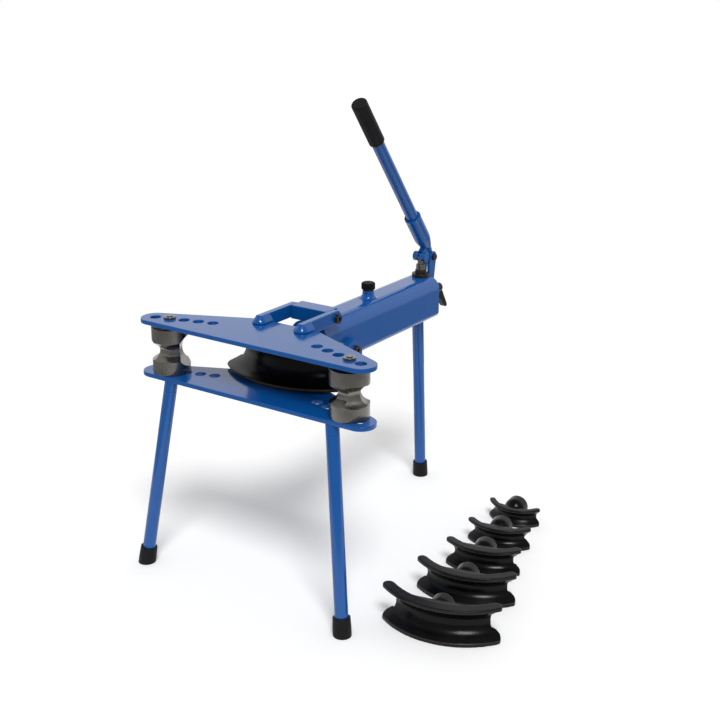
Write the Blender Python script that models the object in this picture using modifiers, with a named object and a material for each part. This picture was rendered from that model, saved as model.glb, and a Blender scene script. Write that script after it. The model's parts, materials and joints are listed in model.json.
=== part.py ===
"""Hydraulic pipe bender on three legs, with the five bending formers that stand beside it.

Metres, +Z up. The origin is the centre of the rear foot's sole, +Y points from the bending plates to the
pump, and X = 0 is the machine's plane of symmetry.
"""
import math

import bmesh
import bpy
from mathutils import Matrix, Vector

MM = 0.001

# Gaps and running clearances
GAP = 0.3 * MM
BORE_CLEARANCE = 0.3 * MM
PIN_CLEARANCE = 0.5 * MM
LINK_CLEARANCE = 0.6 * MM

# Bending plates
HOLE_ROW_Y = -725.6 * MM
LOWER_PLATE_TOP = 468.0 * MM
PLATE_THICKNESS = 10.0 * MM
PLATE_TIP_RADIUS = 34.0 * MM
PLATE_REAR_SLOPE = math.radians(24.0)
PLATE_DEPTH_BEHIND_HOLES = 125.0 * MM
OUTER_HOLE_X = 280.0 * MM
HOLE_STEP = (34.2 * MM, 9.6 * MM)
HOLES_PER_WING = 5
PIN_HOLE_INDEX = 1
HOLE_RADIUS = 12.5 * MM

# Counter-formers and their pins
PIN_HEAD_RADIUS = 14.0 * MM
PIN_HEAD_HEIGHT = 7.0 * MM
PIN_TAIL = 6.0 * MM
COUNTER_RADIUS = 43.0 * MM
COUNTER_HEIGHT = 108.0 * MM
COUNTER_TOP_GAP = 6.9 * MM
COUNTER_GROOVE_DEPTH = 20.5 * MM

# Which pipe each groove of a counter-former takes, from its outer side round by the back
COUNTER_PIPES = (3, 1, 0, 4, 5, 2)

# Bending formers: pipe diameter, radius of the flange edge, half of the arc
PIPE_SIZES = (88.9 * MM, 60.3 * MM, 48.3 * MM, 42.4 * MM, 33.7 * MM, 26.9 * MM)
FORMER_RADII = (240.0 * MM, 190.0 * MM, 161.3 * MM, 132.7 * MM, 106.0 * MM, 80.5 * MM)
FORMER_HALF_ARCS = tuple(math.radians(a) for a in (44.5, 46.9, 48.0, 45.2, 51.2, 62.1))
FORMER_LIPS = (8.3 * MM, 13.4 * MM, 14.2 * MM, 12.1 * MM, 11.0 * MM, 10.1 * MM)
FORMER_WALL = 8.0 * MM
FORMER_ARC_STEPS = 12
FORMER_FLANGE_SHARE = 0.7
FORMER_TIP_ROUNDING = 0.55
FORMER_BACK_REACH = 10.0 * MM
FLANGE_STEP = 0.5 * MM
HUB_RADIUS = 27.0 * MM
LOOSE_HUB_RISE = 9.0 * MM
HUB_LENGTH = 48.0 * MM
HUB_FRONT_WALL = 3.0 * MM
SOCKET_DEPTH = 34.0 * MM
MOUNTED_FORMER_SETBACK = 41.0 * MM

# Where the loose formers stand: vertex of the arc, as X and as distance behind the hole row, and its turn
LOOSE_PLACES = (
    (458.5 * MM, 7.9 * MM),
    (433.6 * MM, 170.6 * MM),
    (405.4 * MM, 314.3 * MM),
    (377.0 * MM, 448.3 * MM),
    (347.0 * MM, 580.6 * MM),
)
LOOSE_TURNS = tuple(math.radians(a) for a in (11.8, 13.2, 14.1, 11.7, 3.9))
LOOSE_NAMES = ("loose_former_60", "loose_former_48", "loose_former_42", "loose_former_34", "loose_former_27")

# Cylinder body, a square casing with rounded top corners
BODY_SETBACK = 203.0 * MM
BODY_LENGTH = 513.0 * MM
BODY_WIDTH = 100.0 * MM
BODY_HEIGHT = 106.0 * MM
BODY_TOP_CORNER = 22.0 * MM
BODY_LOWER_CORNER = 8.0 * MM
BODY_BORE_RADIUS = 42.0 * MM
PUMP_BLOCK_LENGTH = 76.0 * MM

# Hydraulic cylinder and ram
RAM_RADIUS = 20.0 * MM
PISTON_LENGTH = 30.0 * MM
PISTON_TRAVEL_BEHIND = 57.0 * MM
SEAL_WIDTH = 8.0 * MM
SEAL_DEPTH = 4.5 * MM
CYLINDER_BORE_RADIUS = 27.0 * MM
CYLINDER_WALL = 6.0 * MM
FRONT_CAP_RADIUS = 46.0 * MM
FRONT_CAP_FLANGE = 8.0 * MM
FRONT_CAP_SPIGOT = 20.0 * MM
WIPER_RADIUS = 26.0 * MM
WIPER_LENGTH = 5.5 * MM
SPRING_WIRE_RADIUS = 2.0 * MM
SPRING_TURNS = 10
SPRING_POINTS_PER_TURN = 10

# Arms that tie the plates to the casing
ARM_THICKNESS = 15.0 * MM
UPPER_ARM_SETBACK = 93.0 * MM
UPPER_ARM_HEIGHT = 18.0 * MM
UPPER_ARM_DROP = 12.0 * MM
UPPER_ARM_PAST_BOLT = 18.0 * MM
WELD_FOOT_SPREAD = 11.0 * MM
WELD_FOOT_HEIGHT = 15.0 * MM
UPPER_BOLT_INSET = 20.0 * MM
UPPER_BOLT_DROP = 3.0 * MM
HINGE_BLOCK_LENGTH = 44.0 * MM
LOWER_ARM_SETBACK = 80.0 * MM
LOWER_ARM_PAST_BOLT = 28.0 * MM
LOWER_ARM_HEIGHT = 20.0 * MM
LOWER_BOLT_INSET = 97.0 * MM
LOWER_BOLT_RISE = 25.4 * MM
LOWER_BAR_LENGTH = 30.0 * MM
BOLT_RADIUS = 6.0 * MM
BOLT_HEAD_RADIUS = 10.5 * MM
BOLT_HEAD_HEIGHT = 8.0 * MM
BOLT_DEPTH = 6.5 * MM

# Filler
FILLER_INSET = 248.0 * MM
FILLER_RADIUS = 14.0 * MM
FILLER_BORE_RADIUS = 9.0 * MM
FILLER_HEIGHT = 19.0 * MM
FILLER_WELD_RADIUS = 20.0 * MM
FILLER_SEAL_HEIGHT = 2.0 * MM
FILLER_CAP_RADIUS = 17.0 * MM
FILLER_CAP_HEIGHT = 17.5 * MM
FILLER_PLUG_LENGTH = 12.0 * MM

# Hand pump
PUMP_INSET = 16.0 * MM
PUMP_PISTON_RADIUS = 12.0 * MM
PUMP_SLEEVE_WALL = 4.5 * MM
PUMP_SLEEVE_DEPTH = 46.0 * MM
PUMP_SLEEVE_FLOOR = 5.0 * MM
PUMP_PISTON_FOOT = 26.0 * MM
PUMP_PISTON_REACH = 33.0 * MM
GLAND_NUT_WIDTH = 34.0 * MM
GLAND_NUT_HEIGHT = 18.0 * MM
PACKING_HEIGHT = 6.0 * MM
PACKING_THICKNESS = 3.0 * MM
TONGUE_THICKNESS = 10.0 * MM
TONGUE_RADIUS = 8.0 * MM
LINK_PIN_RADIUS = 4.0 * MM
PIVOT_TO_PUMP = 38.0 * MM
PIVOT_RISE = 46.4 * MM
LINK_RISE = 7.0 * MM
LINK_SLOT_TRAVEL = 2.2 * MM
PIVOT_RADIUS = 5.0 * MM
PIVOT_HEAD_RADIUS = 9.0 * MM
PIVOT_HEAD_HEIGHT = 5.5 * MM
EAR_THICKNESS = 8.0 * MM
EAR_RADIUS = 15.0 * MM
EAR_FOOT_DEPTH = 26.0 * MM
EAR_FOOT_DROP = 23.0 * MM
LEVER_WEB = 16.0 * MM
LEVER_HEAD = 30.0 * MM
LEVER_NOSE_RADIUS = 11.0 * MM
LEVER_HUB_RADIUS = 12.0 * MM

# Handle
HANDLE_LEAN = math.radians(38.9)
HANDLE_OFFSET = 12.4 * MM
SOCKET_START = 68.0 * MM
SOCKET_END = 147.0 * MM
SOCKET_RADIUS = 19.0 * MM
SOCKET_FLOOR = 16.0 * MM
HANDLE_RADIUS = 13.5 * MM
HANDLE_WALL = 2.5 * MM
HANDLE_END = 536.0 * MM
GRIP_RADIUS = 18.0 * MM
GRIP_LENGTH = 126.0 * MM
GRIP_CAP = 7.0 * MM

# Release valve
VALVE_INSET = 13.0 * MM
VALVE_RISE = 22.4 * MM
VALVE_SPINDLE_RADIUS = 6.0 * MM
VALVE_SPINDLE_DEPTH = 40.0 * MM
VALVE_HUB_RADIUS = 12.0 * MM
VALVE_HUB_LENGTH = 18.0 * MM
VALVE_BLADE_THICKNESS = 10.0 * MM
VALVE_BLADE_REACH = 50.0 * MM
VALVE_BLADE_DROP = 56.0 * MM
VALVE_BLADE_WIDTH = 15.0 * MM
VALVE_BLADE_TIP = 5.0 * MM

# Legs
LEG_RADIUS = 15.0 * MM
LEG_WALL = 2.5 * MM
FRONT_LEG_X = 222.5 * MM
FRONT_LEG_LEAD = 19.0 * MM
FRONT_FOOT_X = 283.3 * MM
FRONT_FOOT_LEAD = 69.4 * MM
REAR_LEG_INSET = 24.9 * MM
STUB_COLLAR = 24.0 * MM
STUB_SPIGOT = 40.0 * MM
FOOT_RADIUS = 20.5 * MM
FOOT_HEIGHT = 42.0 * MM
FOOT_FLOOR = 8.0 * MM

ROUND_SEGMENTS = 20
BIG_ROUND_SEGMENTS = 28

# Places that follow from the sizes above
UPPER_PLATE_TOP = LOWER_PLATE_TOP + GAP + COUNTER_HEIGHT + COUNTER_TOP_GAP + PLATE_THICKNESS
CENTRE_Z = (LOWER_PLATE_TOP + UPPER_PLATE_TOP - PLATE_THICKNESS) / 2
BODY_TOP = CENTRE_Z + BODY_HEIGHT / 2
BODY_BOTTOM = CENTRE_Z - BODY_HEIGHT / 2
BODY_FRONT = HOLE_ROW_Y + BODY_SETBACK
BODY_REAR = BODY_FRONT + BODY_LENGTH
MOUNTED_FORMER_Y = HOLE_ROW_Y + MOUNTED_FORMER_SETBACK
UPPER_ARM_FRONT = HOLE_ROW_Y + UPPER_ARM_SETBACK
UPPER_BOLT_Y = BODY_FRONT + UPPER_BOLT_INSET
UPPER_ARM_REAR = UPPER_BOLT_Y + UPPER_ARM_PAST_BOLT
LOWER_ARM_FRONT = HOLE_ROW_Y + LOWER_ARM_SETBACK
LOWER_BOLT_Y = BODY_FRONT + LOWER_BOLT_INSET
LOWER_ARM_REAR = LOWER_BOLT_Y + LOWER_ARM_PAST_BOLT
LOWER_BOLT_Z = BODY_BOTTOM + LOWER_BOLT_RISE
FILLER_Y = BODY_FRONT + FILLER_INSET
PUMP_Y = BODY_REAR - PUMP_INSET
PIVOT_Y = PUMP_Y + PIVOT_TO_PUMP
PIVOT_Z = BODY_TOP + PIVOT_RISE
VALVE_X = BODY_WIDTH / 2 - VALVE_INSET
VALVE_Z = CENTRE_Z + VALVE_RISE
ARM_X = BODY_WIDTH / 2 + GAP + ARM_THICKNESS / 2
UPPER_ARM_TOP = UPPER_PLATE_TOP + GAP + UPPER_ARM_HEIGHT
UPPER_ARM_BOTTOM = UPPER_PLATE_TOP - UPPER_ARM_DROP
UPPER_BOLT_Z = (UPPER_ARM_TOP + UPPER_ARM_BOTTOM) / 2 - UPPER_BOLT_DROP
PIN_X = OUTER_HOLE_X - PIN_HOLE_INDEX * HOLE_STEP[0]
PIN_Y = HOLE_ROW_Y + PIN_HOLE_INDEX * HOLE_STEP[1]
PIN_RADIUS = HOLE_RADIUS - PIN_CLEARANCE
GLAND_TOP = BODY_TOP + GAP + GLAND_NUT_HEIGHT
LINK_Z = PIVOT_Z + LINK_RISE
GRIP_START = HANDLE_END + GRIP_CAP - GRIP_LENGTH
HANDLE_DIRECTION = Vector((0, -math.sin(HANDLE_LEAN), math.cos(HANDLE_LEAN)))
HANDLE_ORIGIN = Vector((0, PIVOT_Y, PIVOT_Z)) + HANDLE_OFFSET * Vector(
    (0, math.cos(HANDLE_LEAN), math.sin(HANDLE_LEAN)))


def clear_scene():
    """Remove every object and start the two collections."""
    for obj in list(bpy.data.objects):
        bpy.data.objects.remove(obj, do_unlink=True)
    made = []
    for name in ("pipe_bender", "cutters"):
        group = bpy.data.collections.new(name)
        bpy.context.scene.collection.children.link(group)
        made.append(group)
    return made


PARTS, CUTTERS = clear_scene()


def material(name, colour, roughness, metallic):
    """One Principled material, its colour in linear values."""
    made = bpy.data.materials.new(name)
    made.use_nodes = True
    shader = made.node_tree.nodes["Principled BSDF"]
    shader.inputs["Base Color"].default_value = (*colour, 1)
    shader.inputs["Roughness"].default_value = roughness
    shader.inputs["Metallic"].default_value = metallic
    made.diffuse_color = (*colour, 1)
    return made


BLUE = material("blue_enamel", (0.035, 0.115, 0.38), 0.28, 0.0)
BLACK_CASTING = material("black_casting", (0.012, 0.012, 0.013), 0.4, 0.3)
STEEL = material("machined_steel", (0.42, 0.41, 0.39), 0.32, 1.0)
DARK_STEEL = material("blackened_steel", (0.05, 0.05, 0.05), 0.4, 0.9)
RUBBER = material("black_rubber", (0.015, 0.015, 0.015), 0.75, 0.0)
SEAL = material("seal_rubber", (0.03, 0.03, 0.03), 0.6, 0.0)


def add_object(name, mesh, finish=None):
    """Link a mesh as an object, dressed when a finish is given."""
    obj = bpy.data.objects.new(name, mesh)
    PARTS.objects.link(obj)
    if finish is not None:
        mesh.materials.append(finish)
    return obj


def from_bmesh(name, bm, finish=None):
    """Turn a bmesh into an object whose faces point out, shaded smooth but for its sharp edges."""
    bmesh.ops.recalc_face_normals(bm, faces=bm.faces)
    mesh = bpy.data.meshes.new(name)
    bm.to_mesh(mesh)
    bm.free()
    mesh.shade_smooth()
    mesh.set_sharp_from_angle(angle=math.radians(35))
    return add_object(name, mesh, finish)


def frame_along(start, direction):
    """Matrix whose Z axis runs along direction, from start."""
    turn = Vector((0, 0, 1)).rotation_difference(Vector(direction)).to_matrix().to_4x4()
    return Matrix.Translation(start) @ turn


def block(name, low, high, finish=None):
    """A box between two corners."""
    size = [b - a for a, b in zip(low, high)]
    centre = [(a + b) / 2 for a, b in zip(low, high)]
    bm = bmesh.new()
    bmesh.ops.create_cube(bm, size=1, matrix=Matrix.Translation(centre) @ Matrix.Diagonal((*size, 1)))
    return from_bmesh(name, bm, finish)


def rod(name, radius, start, end, finish=None, segments=ROUND_SEGMENTS, turn=0.0):
    """A round or prismatic bar between two points; turn sets where its first corner lies."""
    start, end = Vector(start), Vector(end)
    length = (end - start).length
    place = frame_along(start, end - start) @ Matrix.Rotation(turn, 4, "Z") @ Matrix.Translation((0, 0, length / 2))
    bm = bmesh.new()
    bmesh.ops.create_cone(bm, cap_ends=True, segments=segments, radius1=radius, radius2=radius, depth=length,
                          matrix=place)
    return from_bmesh(name, bm, finish)


def turned(name, profile, start, direction, finish=None, segments=ROUND_SEGMENTS):
    """A turned piece: (radius, height) points, with height measured along direction from start.

    The points run down the outer side. A profile that ends on the axis at both ends is solid; any other is
    closed into a ring.
    """
    solid = profile[0][0] == 0 and profile[-1][0] == 0
    mesh = bpy.data.meshes.new(name)
    count = len(profile)
    edges = [(i, i + 1) for i in range(count - 1)]
    if not solid:
        edges.append((count - 1, 0))
    mesh.from_pydata([(radius, 0, height) for radius, height in profile], edges, [])
    obj = add_object(name, mesh, finish)
    obj.matrix_world = frame_along(start, direction)
    screw = obj.modifiers.new("turn", "SCREW")
    screw.steps = segments
    screw.render_steps = segments
    screw.use_merge_vertices = True
    screw.merge_threshold = 0.00001
    screw.use_smooth_shade = True
    return obj


def extruded(name, loops, thickness, frame, finish=None):
    """A flat outline with its holes, thickened equally to both sides of frame's XY plane."""
    curve = bpy.data.curves.new(name, "CURVE")
    curve.dimensions = "2D"
    curve.fill_mode = "BOTH"
    curve.extrude = thickness / 2
    for points in loops:
        spline = curve.splines.new("POLY")
        spline.points.add(len(points) - 1)
        for slot, (u, v) in zip(spline.points, points):
            slot.co = (u, v, 0, 1)
        spline.use_cyclic_u = True
    carrier = add_object(name + "_outline", curve)
    bpy.context.view_layer.update()
    depsgraph = bpy.context.evaluated_depsgraph_get()
    mesh = bpy.data.meshes.new_from_object(carrier.evaluated_get(depsgraph))
    bpy.data.objects.remove(carrier, do_unlink=True)
    bm = bmesh.new()
    bm.from_mesh(mesh)
    bpy.data.meshes.remove(mesh)
    bmesh.ops.remove_doubles(bm, verts=bm.verts, dist=0.000001)
    bmesh.ops.transform(bm, matrix=frame, verts=bm.verts)
    return from_bmesh(name, bm, finish)


def side_frame(x):
    """Frame of an outline drawn in Y and Z, at a given X."""
    return Matrix(((0, 0, 1, x), (1, 0, 0, 0), (0, 1, 0, 0), (0, 0, 0, 1)))


def boolean(target, operation, tools):
    """Cut or join the tools, which move to the cutters' collection."""
    for tool in tools:
        step = target.modifiers.new(tool.name, "BOOLEAN")
        step.operation = operation
        step.object = tool
        tool.hide_render = True
        tool.display_type = "WIRE"
        PARTS.objects.unlink(tool)
        CUTTERS.objects.link(tool)
    return target


def cut(target, *tools):
    """Subtract the tools from the target."""
    return boolean(target, "DIFFERENCE", tools)


def join(target, *tools):
    """Weld the tools to the target."""
    return boolean(target, "UNION", tools)


def pivot(name, place, *carried):
    """An empty on a joint's axis that carries the pieces of a moving body."""
    empty = bpy.data.objects.new(name, None)
    empty.location = place
    empty.empty_display_size = 0.02
    PARTS.objects.link(empty)
    for obj in carried:
        obj.parent = empty
        obj.matrix_parent_inverse = Matrix.Translation(-Vector(place))
    return empty


def arc(centre, radius, start, end, steps):
    """Points of an arc, both ends included; angles in radians."""
    return [(centre[0] + radius * math.cos(start + (end - start) * i / steps),
             centre[1] + radius * math.sin(start + (end - start) * i / steps)) for i in range(steps + 1)]


def circle(centre, radius, steps=ROUND_SEGMENTS):
    """Points of a whole circle."""
    return arc(centre, radius, 0, 2 * math.pi, steps)[:-1]


def hull(points):
    """Convex hull of 2D points, counter-clockwise."""
    ordered = sorted(set(points))

    def half(sequence):
        chain = []
        for p in sequence:
            while len(chain) > 1:
                a, b = chain[-2], chain[-1]
                if (b[0] - a[0]) * (p[1] - a[1]) - (b[1] - a[1]) * (p[0] - a[0]) > 1e-12:
                    break
                chain.pop()
            chain.append(p)
        return chain[:-1]

    return half(ordered) + half(ordered[::-1])


def bending_plate(name, top):
    """Winged plate with a row of pin holes along each wing."""
    slope = PLATE_REAR_SLOPE
    tip = arc((OUTER_HOLE_X, HOLE_ROW_Y), PLATE_TIP_RADIUS, -math.pi / 2, math.pi / 2 - slope, 10)
    rear_y = HOLE_ROW_Y + PLATE_DEPTH_BEHIND_HOLES
    last_x, last_y = tip[-1]
    rear_x = last_x - (rear_y - last_y) / math.tan(slope)
    right = tip + [(rear_x, rear_y)]
    outline = right + [(-x, y) for x, y in reversed(right)]
    holes = []
    for side in (-1, 1):
        for index in range(HOLES_PER_WING):
            centre = (side * (OUTER_HOLE_X - index * HOLE_STEP[0]), HOLE_ROW_Y + index * HOLE_STEP[1])
            holes.append(circle(centre, HOLE_RADIUS))
    frame = Matrix.Translation((0, 0, top - PLATE_THICKNESS / 2))
    return extruded(name, [outline] + holes, PLATE_THICKNESS, frame, BLUE)


def counter_former(name, side):
    """Round steel block, its waist six-sided from a groove of another pipe size on each face."""
    base = Vector((side * PIN_X, PIN_Y, LOWER_PLATE_TOP + GAP))
    top = base + Vector((0, 0, COUNTER_HEIGHT))
    former = rod(name, COUNTER_RADIUS, base, top, STEEL, BIG_ROUND_SEGMENTS)
    middle = base.z + COUNTER_HEIGHT / 2
    step = 2 * math.pi / len(COUNTER_PIPES)
    for face, pipe in enumerate(COUNTER_PIPES):
        radius = PIPE_SIZES[pipe] / 2
        angle = step * (face + 0.5)
        outward = Vector((side * math.cos(angle), math.sin(angle), 0))
        floor = COUNTER_RADIUS - COUNTER_GROOVE_DEPTH
        outline = circle((floor + radius, middle), radius, 16)
        if radius < COUNTER_GROOVE_DEPTH:
            past = COUNTER_RADIUS * 1.1
            half = past - floor
            outline = hull(outline + [(past, middle - half), (past, middle + half)])
        across = outward.cross(Vector((0, 0, 1)))
        frame = Matrix.Translation((base.x, base.y, 0)) @ Matrix((outward, (0, 0, 1), across)).transposed().to_4x4()
        cut(former, extruded(f"{name}_groove_{face}", [outline], 4 * COUNTER_RADIUS, frame))
    bore_start = base - Vector((0, 0, PIN_TAIL))
    cut(former, rod(name + "_bore", PIN_RADIUS + PIN_CLEARANCE, bore_start, top + Vector((0, 0, PIN_TAIL))))
    pivot(name + "_axis", base, former)
    return former


def pin(name, side):
    """Headed pin through both plates and the counter-former."""
    foot = LOWER_PLATE_TOP - PLATE_THICKNESS - PIN_TAIL
    shoulder = UPPER_PLATE_TOP + GAP
    chamfer = PIN_TAIL / 4
    length = shoulder - foot
    profile = [(0, length + PIN_HEAD_HEIGHT), (PIN_HEAD_RADIUS - chamfer, length + PIN_HEAD_HEIGHT),
               (PIN_HEAD_RADIUS, length + PIN_HEAD_HEIGHT - chamfer), (PIN_HEAD_RADIUS, length),
               (PIN_RADIUS, length), (PIN_RADIUS, 2 * chamfer), (PIN_RADIUS - chamfer, 0), (0, 0)]
    piece = turned(name, profile, (side * PIN_X, PIN_Y, foot), (0, 0, 1), STEEL)
    pivot(name + "_axis", (side * PIN_X, PIN_Y, foot), piece)
    return piece


def former_height(index):
    """Height of a bending former from sole to top flange."""
    return PIPE_SIZES[index] + 2 * FORMER_LIPS[index]


def hub_height(index):
    """Height of the socket's centre above the former's sole; no hub reaches below its sole."""
    rise = LOOSE_HUB_RISE if index else 0.0
    return max(former_height(index) / 2 + rise, HUB_RADIUS + GAP)


def tip_cutter(name, index, flange, side, place):
    """Prism that leaves a rounded tongue of the flanges at one end of the arc."""
    radius = FORMER_RADII[index]
    rounding = flange * FORMER_TIP_ROUNDING
    middle = radius - flange / 2
    angle = FORMER_HALF_ARCS[index] - (rounding - flange / 100) / middle
    outward = Vector((side * math.sin(angle), -math.cos(angle)))
    along = Vector((side * math.cos(angle), math.sin(angle)))
    centre = Vector((0, radius)) + outward * middle
    far = 2 * PIPE_SIZES[index]
    outline = [centre + outward * (rounding * math.cos(a)) + along * (rounding * math.sin(a))
               for a in (math.pi * step / 12 for step in range(13))]
    outline += [centre - outward * far, centre - outward * far + along * far, centre + outward * far + along * far,
                centre + outward * far]
    height = former_height(index)
    return extruded(name, [[tuple(p) for p in outline]], 2 * height, place @ Matrix.Translation((0, 0, height / 2)))


def bending_former(name, index, vertex, turn):
    """Curved channel that the pipe is bent round, with a socket hub at its back.

    vertex is the foremost point of the flange edge, at the height of the sole; turn is the angle about Z.
    """
    pipe = PIPE_SIZES[index] / 2
    radius = FORMER_RADII[index]
    half_arc = FORMER_HALF_ARCS[index]
    height = former_height(index)
    middle = height / 2
    back = pipe + FORMER_WALL
    flange = back * FORMER_FLANGE_SHARE
    reach = math.asin(math.sqrt(back ** 2 - flange ** 2) / back)
    section = [(0, 0), (flange, 0)]
    section += [(d, middle + z) for d, z in arc((0, 0), back, -reach, reach, 4)]
    section += [(flange, height), (0, height)]
    section += [(d, middle + z) for d, z in arc((0, 0), pipe, math.pi / 2, -math.pi / 2, 8)]
    bm = bmesh.new()
    centre = Vector((0, radius, 0))
    ring = []
    for depth, z in section:
        start = Matrix.Rotation(-half_arc, 3, "Z") @ Vector((0, depth - radius, z)) + centre
        ring.append(bm.verts.new(start))
    face = bm.faces.new(ring)
    bmesh.ops.spin(bm, geom=[face] + face.edges[:] + face.verts[:], cent=centre, axis=(0, 0, 1),
                   angle=2 * half_arc, steps=FORMER_ARC_STEPS, use_duplicate=False)
    open_edges = [edge for edge in bm.edges if edge.is_boundary]
    if open_edges:
        bmesh.ops.holes_fill(bm, edges=open_edges, sides=0)
    place = Matrix.Translation(vertex) @ Matrix.Rotation(turn, 4, "Z")
    bmesh.ops.transform(bm, matrix=place, verts=bm.verts)
    former = from_bmesh(name, bm, BLACK_CASTING)
    for side in (-1, 1):
        cut(former, tip_cutter(f"{name}_tip_{side}", index, flange, side, place))
    web_rear = flange + FORMER_BACK_REACH
    web_arc = radius - flange / 2
    web_half = math.acos((radius - web_rear) / web_arc)
    web = [(x, y) for x, y in arc((0, radius), web_arc, -math.pi / 2 - web_half, -math.pi / 2 + web_half, 12)]
    lip = FORMER_LIPS[index]
    thick = lip - FLANGE_STEP
    for level, z in (("low", FLANGE_STEP + thick / 2), ("high", height - FLANGE_STEP - thick / 2)):
        join(former, extruded(f"{name}_web_{level}", [web], thick, place @ Matrix.Translation((0, 0, z))))
    hub_z = hub_height(index)
    front = pipe + HUB_FRONT_WALL
    dome = arc((0, 0), HUB_RADIUS, 0, math.pi / 2, 5)
    profile = [(0, HUB_LENGTH), (HUB_RADIUS, HUB_LENGTH)]
    profile += [(r, HUB_RADIUS - h) for r, h in dome[:-1]]
    profile.append((0, 0))
    backwards = place.to_3x3() @ Vector((0, 1, 0))
    hub_start = place @ Vector((0, front, hub_z))
    join(former, turned(name + "_hub", profile, hub_start, backwards))
    socket_end = hub_start + backwards * (HUB_LENGTH + GAP)
    socket_start = hub_start + backwards * (HUB_LENGTH - SOCKET_DEPTH)
    cut(former, rod(name + "_socket", RAM_RADIUS + BORE_CLEARANCE, socket_start, socket_end))
    return former


def mounted_former():
    """The largest former, on the ram's nose."""
    vertex = (0, MOUNTED_FORMER_Y, CENTRE_Z - hub_height(0))
    former = bending_former("bending_former", 0, vertex, 0)
    pivot("bending_former_axis", (0, MOUNTED_FORMER_Y, CENTRE_Z), former)


def loose_formers():
    """The five smaller formers, standing on the floor."""
    for index, (name, (x, setback), turn) in enumerate(zip(LOOSE_NAMES, LOOSE_PLACES, LOOSE_TURNS), start=1):
        vertex = (x, HOLE_ROW_Y + setback, 0)
        former = bending_former(name, index, vertex, turn)
        pivot(name + "_axis", vertex, former)


def body_section():
    """Outline of the casing in X and Z."""
    half = BODY_WIDTH / 2
    points = []
    for x, z, radius, start in ((half, BODY_TOP, BODY_TOP_CORNER, 0), (-half, BODY_TOP, BODY_TOP_CORNER, 90),
                                (-half, BODY_BOTTOM, BODY_LOWER_CORNER, 180),
                                (half, BODY_BOTTOM, BODY_LOWER_CORNER, 270)):
        centre = (x - math.copysign(radius, x), z - math.copysign(radius, z - CENTRE_Z))
        points += arc(centre, radius, math.radians(start), math.radians(start + 90), 5)
    return points


def casing():
    """Oil tank and pump block in one casting, bored for the cylinder, the pump and the valve."""
    middle_y = (BODY_FRONT + BODY_REAR) / 2
    frame = Matrix(((1, 0, 0, 0), (0, 0, 1, middle_y), (0, 1, 0, 0), (0, 0, 0, 1)))
    body = extruded("casing", [body_section()], BODY_REAR - BODY_FRONT, frame, BLUE)
    bore_end = BODY_REAR - PUMP_BLOCK_LENGTH
    cut(body, rod("casing_bore", BODY_BORE_RADIUS, (0, BODY_FRONT - GAP, CENTRE_Z), (0, bore_end, CENTRE_Z),
                  segments=BIG_ROUND_SEGMENTS))
    cut(body, rod("casing_filler_hole", FILLER_BORE_RADIUS, (0, FILLER_Y, CENTRE_Z), (0, FILLER_Y, BODY_TOP + GAP)))
    sleeve_radius = PUMP_PISTON_RADIUS + BORE_CLEARANCE + PUMP_SLEEVE_WALL + GAP
    cut(body, rod("casing_pump_hole", sleeve_radius, (0, PUMP_Y, BODY_TOP - PUMP_SLEEVE_DEPTH - GAP),
                  (0, PUMP_Y, BODY_TOP + GAP)))
    cut(body, rod("casing_valve_hole", VALVE_SPINDLE_RADIUS + BORE_CLEARANCE,
                  (VALVE_X, BODY_REAR - VALVE_SPINDLE_DEPTH - GAP, VALVE_Z), (VALVE_X, BODY_REAR + GAP, VALVE_Z)))
    for side in (-1, 1):
        outer = side * (BODY_WIDTH / 2 + GAP)
        inner = side * (BODY_WIDTH / 2 - BOLT_DEPTH - GAP)
        cut(body, rod(f"casing_bolt_hole_{side}", BOLT_RADIUS + GAP, (inner, LOWER_BOLT_Y, LOWER_BOLT_Z),
                      (outer, LOWER_BOLT_Y, LOWER_BOLT_Z), segments=16))
    return body


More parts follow.
